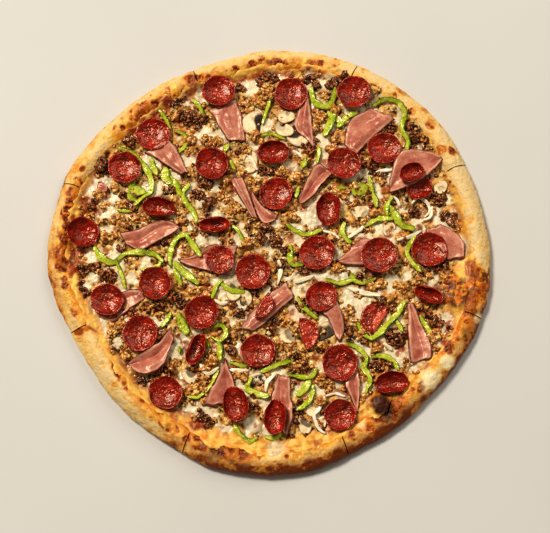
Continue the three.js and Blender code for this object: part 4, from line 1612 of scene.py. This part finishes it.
PEPPER_STRIPS = tuple(Strip(*row) for row in (
    (((192, 99), (198, 105), (206, 116)), 5.5), (((160, 111), (166, 119), (171, 129)),),
    (((174, 131), (184, 134), (187, 142), (183, 149), (176, 155)), 6),
    (((118, 148), (132, 153), (144, 165), (151, 179), (151, 191), (142, 199), (134, 206)), 7.5, 3, 1),
    (((128, 187), (137, 190), (145, 191)), 12, 2.5), (((128, 194), (134, 201), (137, 209)), 8, 3),
    (((151, 157), (154, 166), (157, 175)), 7), (((166, 166), (165, 176), (171, 184)), 11, 3),
    (((168, 176), (176, 184), (183, 196)), 9, 3),
    (((190, 184), (184, 193), (187, 204), (194, 212), (197, 224)), 7, 3, 0.5),
    (((116, 209), (124, 211), (133, 211)), 4), (((94, 246), (99, 255), (107, 261), (119, 261)), 9, 3),
    (((117, 260), (126, 254), (140, 252), (154, 254), (163, 262)), 7.5, 3, 1),
    (((163, 258), (158, 266), (150, 269), (140, 269)), 7.5, 3, 0.5),
    (((118, 263), (122, 276), (126, 289)),), (((170, 266), (171, 250), (179, 237), (189, 234)), 8, 3, 0.5),
    (((186, 235), (194, 246), (201, 257)), 8, 3, 1), (((174, 262), (184, 272), (199, 284)), 9, 3, 0.5),
    (((174, 268), (178, 277), (182, 286)), 7, 3), (((222, 279), (215, 288), (213, 299)), 6),
    (((221, 283), (231, 290), (245, 291)), 7.5, 3), (((171, 312), (167, 320), (161, 328)), 6.5),
    (((178, 314), (182, 324), (188, 334)), 13, 3, 0.5), (((178, 346), (180, 354)),),
    (((212, 327), (222, 325), (227, 333), (221, 341), (211, 337)), 5.5, 3, 1),
    (((218, 338), (220, 349), (221, 361)), 7, 3, 1), (((229, 362), (237, 365), (247, 366)), 6),
    (((203, 340), (209, 348)), 8), (((219, 370), (211, 385), (199, 397), (187, 397)), 5.5),
    (((251, 377), (248, 388), (256, 393), (270, 397)), 8, 3),
    (((288, 375), (300, 377), (312, 376), (316, 368)), 6, 3, 1),
    (((311, 379), (304, 390), (296, 395)), 10, 3), (((314, 385), (310, 400), (296, 411)), 6.5, 3, 0.5),
    (((234, 424), (239, 433), (249, 441), (258, 437)), 7, 3), (((264, 436), (275, 438), (285, 430)), 6),
    (((345, 343), (357, 348), (366, 357), (364, 368), (370, 379), (366, 394)), 7, 3, 0.5),
    (((371, 357), (384, 356), (393, 361), (399, 370)), 6.5, 3),
    (((405, 300), (399, 311), (390, 322), (378, 334), (369, 339)), 9.5, 3, 0.5),
    (((370, 339), (362, 333), (357, 322)), 5.5), (((396, 320), (400, 326), (403, 332)), 6),
    (((420, 315), (427, 326), (434, 337)), 6.5, 3),
    (((326, 279), (339, 284), (352, 280), (364, 283), (376, 279)), 6, 3, 0.5),
    (((350, 274), (356, 278)), 6), (((297, 297), (304, 308), (318, 319)), 6.5, 3),
    (((291, 244), (290, 256), (294, 264), (304, 265)), 7.5, 3),
    (((311, 87), (314, 100), (323, 107), (332, 102), (335, 87)), 9, 3.5, 1),
    (((337, 107), (332, 120), (324, 136)), 11, 3, 0.5), (((358, 112), (346, 118), (337, 127)), 9, 3, 0.5),
    (((328, 112), (334, 118), (342, 122)), 8, 3), (((320, 147), (319, 155), (318, 163)), 6),
    (((373, 106), (384, 101), (397, 103), (404, 114), (402, 128), (408, 140), (406, 155)), 7.5, 3.5, 1),
    (((305, 157), (303, 168)), 8), (((299, 186), (296, 198)),),
    (((352, 190), (360, 190), (367, 186)), 16, 2), (((369, 176), (373, 192), (377, 208)), 7, 3, 0.8),
    (((337, 188), (345, 188)), 6), (((393, 196), (387, 206), (388, 217)), 7, 3, 0.5),
    (((389, 205), (396, 216), (402, 225), (415, 229)), 9.5, 3, 0.5),
    (((287, 223), (297, 231), (309, 234), (322, 229)), 6.5, 3),
    (((345, 221), (343, 233), (351, 243)), 7.5, 3), (((364, 226), (377, 219), (393, 219)), 7, 3),
    (((416, 235), (408, 249), (411, 262), (422, 271)), 6.5, 3, 0.5),
    (((271, 96), (267, 110), (262, 125)), 4.5), (((228, 145), (225, 152)), 7),
    (((231, 160), (236, 169)), 4), (((232, 225), (238, 231), (244, 242)), 5.5),
    (((255, 137), (270, 134), (286, 139)), 4.5), (((260, 372), (275, 366), (293, 359)), 7)))

ONION_STRIPS = tuple(Strip(*row) for row in (
    (((412, 204), (418, 198), (427, 202), (430, 211), (424, 218)), 2.5, 3, 1),
    (((433, 207), (431, 216), (423, 221)), 2.5, 3), (((390, 196), (397, 199), (400, 206)), 3, 3),
    (((396, 240), (408, 237), (421, 230)), 3, 3), (((375, 172), (384, 170), (393, 169)), 3, 2.5),
    (((279, 260), (281, 271), (278, 285)), 3, 3), (((294, 282), (304, 279), (314, 275)), 3, 3),
    (((349, 287), (364, 293), (381, 296)), 4, 3), (((276, 373), (268, 382), (267, 392)), 3, 3),
    (((199, 364), (208, 373), (219, 367)), 3, 3), (((229, 369), (239, 371), (249, 370)), 3, 2.5),
    (((325, 396), (319, 410), (314, 417), (321, 430), (326, 433)), 2.5, 3),
    (((327, 419), (325, 427)), 2.5, 2.5), (((326, 396), (336, 394), (346, 396)), 2.5, 2.5),
    (((337, 116), (341, 121), (343, 127)), 3, 3), (((295, 151), (299, 154), (303, 158)), 3, 3),
    (((323, 231), (331, 233), (339, 238)), 3, 3), (((348, 238), (358, 231), (367, 223)), 3, 3),
    (((215, 299), (221, 303), (228, 302)), 3, 2.5), (((246, 150), (250, 158), (258, 170)), 3, 2.5),
    (((141, 222), (150, 226)), 3, 2.5), (((240, 312), (247, 305)), 3, 2.5),
    (((383, 343), (392, 350)), 3, 2.5), (((206, 196), (214, 207)), 3, 2.5)))


@dataclass(frozen=True)
class Mushroom:
    """A slice of mushroom: its place in the view, its radius in millimetres and its gills.

    Each patch of gills is given as x, y and radius in shares of the slice's own radius.
    """

    x: float
    y: float
    size: float
    gills: tuple = ((0.4, 0.0, 0.6),)
    dark: float = 1.0
    lift: float = 0.0


@dataclass
class MushroomSlices:
    """Slices of mushroom, gathered in one piece."""

    bed: CheeseBed
    thickness: float = 2.2
    slices: tuple = tuple(Mushroom(*row) for row in (
        (254, 122, 13, ((0.7, 0.1, 0.75), (0.5, -0.5, 0.4)), 1, 1),
        (286, 117, 8, ((0.3, 0.5, 0.35),), 0.4, 1.4), (284, 129, 9, ((-0.4, 0.4, 0.7),), 0.3, 0.2),
        (297, 134, 13, ((-0.3, 0.35, 0.85),), 1, 0.4),
        (249, 162, 11, ((-0.5, -0.35, 0.4), (0.35, -0.3, 0.4)), 0.3, -0.6),
        (441, 187, 7, ((0.1, -0.2, 0.5),), 0.3, -0.4), (362, 212, 9, ((0.5, -0.5, 0.8),), 0.5, -0.8),
        (190, 376, 8, ((0.2, 0.5, 0.8),), 0.8, -0.5), (233, 291, 9, ((0.4, 0.6, 0.9),), 0.85, -0.4),
        (245, 299, 8, ((-0.5, -0.5, 0.9),), 0.9, -0.4), (325, 332, 11, ((0.1, -0.2, 0.95),), 0.95, -0.3),
        (257, 380, 9, ((0.1, -0.3, 0.95),), 1, -0.2), (310, 408, 8, ((0.6, 0.6, 0.6),), 0.5, -0.2),
        (305, 425, 8, ((0.3, 0.5, 0.9),), 0.85, -0.3), (389, 228, 7, ((0.2, -0.6, 0.7),), 0.5, -0.4),
        (80, 171, 4, ((0.2, 0.2, 0.4),), 0.6, 0.3), (288, 336, 9, ((0.6, 0.2, 0.9),), 0.6, -0.5)))
    rings: int = 14
    sides: int = 44

    def build(self) -> None:
        """Makes the slices as one piece."""
        parts = Patchwork()
        for number, entry in enumerate(self.slices):
            self._slice(parts, entry, number)
        parts.piece("mushroom_slices", MushroomFinish().material())

    def _slice(self, parts: Patchwork, entry: Mushroom, number: int) -> None:
        """Adds one slice to a mesh: an uneven disc with sunken gills.

        Args:
            parts: the mesh it is added to.
            entry: its place, size and gills.
            number: its number, which picks its unevenness.
        """
        angle = ring_angles(self.sides)
        uneven = 1 + 0.16 * np.sin(2 * angle + 1.3 * number) + 0.07 * np.sin(3 * angle + number)
        for gill_x, gill_y, reach in entry.gills[:1]:
            facing = np.cos(angle - math.atan2(gill_y, gill_x))
            uneven = uneven * (1 - 0.3 * eased(facing, 0.3, 1.0) * (reach > 0.7))
        share = np.linspace(0, 1, self.rings)[:, None]
        x, y = entry.size * share * uneven * np.cos(angle), entry.size * share * uneven * np.sin(angle)
        places = flat_places(x, y, 6.0 * number)
        wander = 1 + 0.3 * relief(places, 5, 2, 42).reshape(x.shape)
        gills = np.zeros(x.shape)
        for gill_x, gill_y, reach in entry.gills:
            away = np.hypot(x / entry.size - gill_x, y / entry.size - gill_y) / reach * wander
            gills = np.maximum(gills, eased(away, 1.0, 0.75))
        full = self.thickness * np.sqrt(1 - eased(share, 0.8, 1.05) ** 2 * 0.9)
        rise = relief(places, 10, 2, 41).reshape(x.shape) + 0.6 * share ** 2
        centre = VIEW.on_pizza(entry.x, entry.y)
        ground = self.bed.level + 1.0 + entry.lift
        sheets = [np.stack([x + centre[0], y + centre[1], ground + z], axis=2).reshape(-1, 3)
                  for z in (rise + full / 2 - 1.1 * gills, rise - full / 2 - 1.1 * gills)]
        skin = np.broadcast_to(eased(share, 0.88, 0.98), x.shape)
        parts.add(
            np.vstack(sheets), disc_faces(self.rings, self.sides),
            gills=np.tile(entry.dark * gills.ravel(), 2), skin=np.tile(skin.ravel(), 2))


class Meat(Enum):
    """The kinds of crumbled meat: name, seed, number of loose crumbs and their sizes in millimetres."""

    BEEF = ("beef_crumbles", 3, 120, (1.5, 2.2, 3.2, 4.4))
    SAUSAGE = ("sausage_crumbles", 4, 360, (1.4, 2.2, 3.2, 4.6))


@dataclass
class Crumbles:
    """Crumbs of meat of one kind, in heaps read in the view and loose, clear of the large toppings."""

    kind: Meat
    heaps: tuple
    bed: CheeseBed
    taken: list[Array]
    spacing: float = 0.62
    heap_height: float = 2.6
    # Crumbs in a heap by its radius squared, and the share of each size in heaps and loose.
    density: float = 1.25
    heap_shares: tuple = (0.35, 0.35, 0.2, 0.1)
    loose_shares: tuple = (0.4, 0.35, 0.2, 0.05)
    # The radius from which a crumb is made of the finer ball, and how far out crumbs are strewn.
    fine_from: float = 2.2
    reach: float = 212.0

    def build(self, finish: Material) -> None:
        """Makes the crumbs as one piece.

        Args:
            finish: their material.
        """
        name, seed, loose, sizes = self.kind.value
        rng = np.random.default_rng(seed)
        parts = Patchwork()
        balls = [self._ball(2), self._ball(3)]
        for x, y, z, radius in np.vstack([self._heaped(rng, sizes), self._loose(rng, sizes, loose)]):
            ball, faces = balls[radius > self.fine_from]
            stretch = rng.uniform(0.75, 1.3, 3) * [1, 1, 0.8]
            turn = rng.uniform(0, 2 * math.pi)
            shift = rng.uniform(0, 500, 3)
            lumps = 0.62 + 0.62 * billow(ball + shift, 0.8, 1, 51) + 0.3 * billow(ball + shift, 0.4, 1, 52)
            crumb = ball * lumps[:, None] * stretch * radius
            across, away = turned(crumb[:, 0], crumb[:, 1], turn)
            place = np.stack([across + x, away + y, crumb[:, 2] + z], axis=1)
            # The creases get painted shade.
            parts.add(place, [faces], crease=1 - eased(lumps, 0.7, 1.05))
        parts.piece(name, finish)

    @staticmethod
    def _ball(fineness: int) -> tuple[Array, Array]:
        """A ball of unit radius, as points and three-sided faces.

        Args:
            fineness: how often its faces are divided.

        Returns:
            The points and the faces.
        """
        work = bmesh.new()
        bmesh.ops.create_icosphere(work, subdivisions=fineness, radius=1)
        points = np.array([v.co for v in work.verts])
        faces = np.array([[v.index for v in f.verts] for f in work.faces])
        work.free()
        return points, faces

    def _heaped(self, rng: np.random.Generator, sizes: tuple) -> Array:
        """Lays the crumbs in the heaps, which lie higher towards a heap's middle.

        Args:
            rng: the random draws.
            sizes: radii to choose from, in millimetres.

        Returns:
            x, y, z and radius of each crumb.
        """
        rows = []
        for x, y, reach in self.heaps:
            middle = VIEW.on_pizza(x, y)
            for _ in range(int(self.density * reach ** 2)):
                way, share = rng.uniform(0, 2 * math.pi), math.sqrt(rng.random())
                place = middle + share * reach * np.array([math.cos(way), 0.9 * math.sin(way)])
                radius = rng.choice(sizes, p=self.heap_shares)
                rows.append((*place, self.heap_height * (1 - share ** 2), radius))
        return self._settled(np.array(rows), len(rows))

    def _loose(self, rng: np.random.Generator, sizes: tuple, wanted: int) -> Array:
        """Lays the loose crumbs, which are fewer where the cheese is white.

        Args:
            rng: the random draws.
            sizes: radii to choose from, in millimetres.
            wanted: the most crumbs to lay down.

        Returns:
            x, y, z and radius of each crumb.
        """
        tries = 12 * wanted
        radii = rng.choice(sizes, tries, p=self.loose_shares)
        rows = np.column_stack([rng.uniform(-self.reach, self.reach, (tries, 2)), np.zeros(tries), radii])
        white = self.bed.whiteness(rows[:, :3])
        return self._settled(rows[rng.random(tries) > 0.95 * white], wanted)

    def _settled(self, rows: Array, wanted: int) -> Array:
        """Lays crumbs down, leaving out those that would lie on the rim or in what is already there.

        Args:
            rows: x, y, height above the cheese and radius of each crumb.
            wanted: the most crumbs to lay down.

        Returns:
            x, y, z and radius of the crumbs laid down.
        """
        places = flat_places(rows[:, 0], rows[:, 1])
        rows = rows[self.bed.inset(places) > self.bed.crust.toppings_from(places) + 0.5 * rows[:, 3]]
        rows[:, 2] += self.bed.ground(rows[:, 0], rows[:, 1]) + 0.1 * rows[:, 3]
        kept = []
        for row in rows:
            taken = np.array(self.taken)
            away = np.hypot(taken[:, 0] - row[0], taken[:, 1] - row[1])
            if len(kept) < wanted and np.all(away > taken[:, 2] + row[3] * self.spacing):
                self.taken.append(np.array([row[0], row[1], row[3] * self.spacing]))
                kept.append(row)
        return np.array(kept)


def footprints(hams: HamPieces, mushrooms: MushroomSlices) -> list[Array]:
    """Circles that cover the large toppings, so that no crumb pokes through them.

    Args:
        hams: the pieces of ham.
        mushrooms: the slices of mushroom.

    Returns:
        Circles as x, y and radius.
    """
    circles = [np.array([*VIEW.on_pizza(one.x, one.y), 0.8 * one.size]) for one in mushrooms.slices]
    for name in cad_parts:
        if name.startswith("pepperoni"):
            low, high = node_box(name)
            circles.append(np.array([*(low + high)[:2] / 2, (high - low)[:2].min() / 2 - 0.5]))
    for ham in (*hams.pieces, *hams.small):
        for left, right in zip(*ham.sides(9)):
            x, y = (left + right) / 2
            circles.append(np.array([x, y, np.linalg.norm(left - right) / 2 - 1]))
    return circles


# Heaps of crumbs by place in the view and radius in millimetres.
BEEF_HEAPS = (
    (181, 97, 6), (174, 103, 5), (188, 118, 8), (197, 124, 6), (183, 114, 5), (204, 118, 5), (240, 87, 5),
    (262, 81, 6), (271, 77, 5), (310, 78, 5), (316, 86, 5), (333, 83, 6), (344, 78, 5), (359, 79, 5),
    (378, 78, 4), (410, 127, 5), (416, 136, 5), (411, 147, 5), (392, 127, 6), (386, 133, 4), (101, 165, 6),
    (104, 172, 5), (95, 163, 4), (130, 141, 5), (124, 195, 4), (133, 205, 6), (90, 207, 5), (95, 201, 4),
    (120, 249, 4), (85, 269, 5), (94, 266, 4), (108, 274, 8), (83, 291, 6), (79, 281, 4), (441, 200, 7),
    (449, 216, 6), (434, 195, 4), (376, 172, 5), (384, 175, 4), (275, 241, 7), (260, 236, 5), (266, 228, 4),
    (161, 331, 5), (306, 268, 5), (396, 340, 8), (404, 332, 5), (390, 333, 5), (436, 322, 5), (428, 312, 4),
    (144, 381, 4), (203, 417, 5), (209, 423, 5), (256, 378, 6), (252, 384, 5), (301, 421, 6), (298, 411, 5),
    (306, 430, 5), (322, 430, 4), (172, 296, 6), (180, 303, 6), (160, 307, 6), (146, 307, 5), (134, 312, 5),
    (193, 378, 6), (190, 371, 5), (168, 368, 5), (158, 371, 4), (378, 366, 7), (367, 362, 5), (390, 363, 4),
    (297, 358, 5), (305, 366, 5), (330, 330, 5), (335, 318, 4), (301, 305, 6), (310, 300, 4), (353, 152, 5),
    (362, 163, 5), (371, 166, 4), (204, 182, 6), (199, 194, 6), (208, 205, 5), (262, 169, 6), (272, 172, 5),
    (302, 143, 5), (312, 150, 5), (314, 140, 4), (240, 314, 5), (247, 304, 5), (228, 340, 5), (231, 350, 4),
    (286, 250, 5), (280, 264, 5), (275, 290, 4), (243, 196, 4), (150, 240, 4), (164, 243, 4), (172, 188, 4),
    (415, 212, 5), (445, 262, 5), (437, 267, 5), (423, 272, 4), (348, 330, 5), (352, 338, 4), (340, 352, 3),
    (320, 350, 4), (272, 330, 4), (222, 312, 4), (233, 305, 4), (255, 408, 4), (345, 222, 4))
SAUSAGE_HEAPS = (
    (266, 96, 6), (259, 101, 6), (247, 108, 5), (240, 106, 4), (268, 88, 4), (328, 96, 5), (322, 118, 6),
    (318, 128, 5), (206, 140, 6), (215, 143, 5), (240, 145, 6), (248, 152, 4), (252, 181, 6), (244, 172, 4),
    (228, 200, 6), (236, 206, 6), (232, 213, 5), (222, 194, 5), (249, 243, 6), (258, 222, 5), (270, 215, 5),
    (211, 361, 6), (208, 368, 4), (136, 217, 6), (145, 219, 6), (118, 219, 6), (126, 224, 5), (108, 236, 6),
    (103, 241, 4), (129, 208, 4), (297, 365, 7), (290, 358, 5), (304, 360, 5), (322, 382, 6), (329, 386, 5),
    (280, 172, 5), (300, 178, 5), (352, 184, 5), (344, 193, 5), (182, 214, 5), (204, 232, 4), (305, 197, 5),
    (290, 215, 4), (330, 240, 5), (354, 246, 4), (362, 210, 6), (372, 212, 4), (354, 206, 4), (284, 335, 5),
    (280, 345, 5), (291, 346, 5), (297, 333, 4), (245, 322, 5), (222, 322, 4), (340, 268, 5), (330, 262, 4),
    (358, 293, 5), (350, 310, 5), (344, 316, 4), (410, 262, 4), (418, 283, 4), (404, 288, 5), (398, 285, 4),
    (382, 284, 4), (150, 310, 5), (160, 315, 4), (122, 327, 5), (114, 333, 5), (110, 350, 4), (126, 350, 5),
    (132, 346, 4), (186, 391, 5), (196, 389, 5), (204, 392, 4), (192, 401, 4), (236, 374, 5), (245, 378, 4),
    (229, 380, 3), (212, 352, 4), (204, 345, 3), (438, 334, 5), (446, 336, 4), (437, 350, 5), (430, 300, 4),
    (378, 346, 5), (362, 330, 5), (356, 338, 4), (408, 364, 5), (418, 373, 5), (436, 362, 4), (351, 405, 4),
    (363, 398, 4), (344, 386, 4), (312, 406, 4), (320, 402, 3), (268, 376, 4), (217, 418, 4), (228, 418, 4),
    (194, 417, 3), (168, 352, 3), (176, 363, 4), (184, 222, 4), (336, 140, 5), (328, 148, 4), (430, 345, 4),
    (88, 216, 4), (96, 194, 4), (120, 184, 3), (176, 148, 4), (192, 140, 5), (186, 150, 4), (284, 148, 3))


@dataclass
class Studio:
    """The floor, the lights and the camera."""

    floor_size: float = 6.0
    key_strength: float = 174.0
    fill_share: float = 0.2
    world_strength: float = 0.18

    def build(self) -> None:
        """Makes the floor, the lights, the colour handling and the camera."""
        self._floor()
        self._area("key", (-1.85, 1.8, 3.85), 1.1, self.key_strength, (1.0, 0.94, 0.84))
        self._area("fill", (1.9, 2.2, 2.6), 2.0, self.key_strength * self.fill_share, (1.0, 0.96, 0.9))
        world = bpy.data.worlds.new("studio")
        world.use_nodes = True
        back = world.node_tree.nodes["Background"]
        back.inputs["Color"].default_value = (1.0, 0.93, 0.82, 1)
        back.inputs["Strength"].default_value = self.world_strength
        bpy.context.scene.world = world
        bpy.context.scene.view_settings.view_transform = "Standard"
        bpy.context.scene.view_settings.look = "Medium High Contrast"
        VIEW.camera()

    def _floor(self) -> None:
        """Lays the floor under the pizza."""
        half = self.floor_size / 2
        corners = [(-half, -half, 0), (half, -half, 0), (half, half, 0), (-half, half, 0)]
        mesh = bpy.data.meshes.new("floor")
        mesh.from_pydata(corners, [], [(0, 1, 2, 3)])
        mesh.materials.append(FloorFinish().material())
        floor = bpy.data.objects.new("floor", mesh)
        bpy.context.collection.objects.link(floor)

    @staticmethod
    def _area(name: str, place: tuple, size: float, power: float, colour: tuple) -> None:
        """Adds a square light that faces the pizza.

        Args:
            name: its name.
            place: where it stands, in metres.
            size: length of its side in metres.
            power: its power in watts.
            colour: its colour.
        """
        data = bpy.data.lights.new(name, "AREA")
        data.shape = "SQUARE"
        data.size = size
        data.energy = power
        data.color = colour
        lamp = bpy.data.objects.new(name, data)
        lamp.location = place
        x, y, z = place
        lamp.rotation_euler = (math.atan2(math.hypot(x, y), z), 0, math.atan2(x, -y))
        bpy.context.collection.objects.link(lamp)


def main() -> None:
    """Builds the pizza from the dough up, then the studio."""
    logging.basicConfig(level=logging.INFO, format="%(message)s")
    outline = Outline()
    crust = Crust(outline)
    bed = CheeseBed(outline, crust)
    hams = HamPieces()
    crust.build()
    bed.build()
    PepperoniSlices().build()
    hams.build()
    Strips("green_pepper_strips", PEPPER_STRIPS, bed).build(PepperFinish().material())
    Strips("onion_strips", ONION_STRIPS, bed, breadth=1.3, sides=10).build(OnionFinish().material())
    mushrooms = MushroomSlices(bed)
    mushrooms.build()
    taken = footprints(hams, mushrooms)
    beef = MeatFinish("beef_finish", srgb(186, 108, 50), srgb(76, 32, 12), srgb(24, 9, 4))
    Crumbles(Meat.BEEF, BEEF_HEAPS, bed, taken).build(beef.material())
    sausage = MeatFinish("sausage_finish", srgb(248, 204, 120), srgb(204, 122, 44), srgb(92, 38, 8))
    Crumbles(Meat.SAUSAGE, SAUSAGE_HEAPS, bed, taken).build(sausage.material())
    Studio().build()


if __name__ == "__main__":
    main()
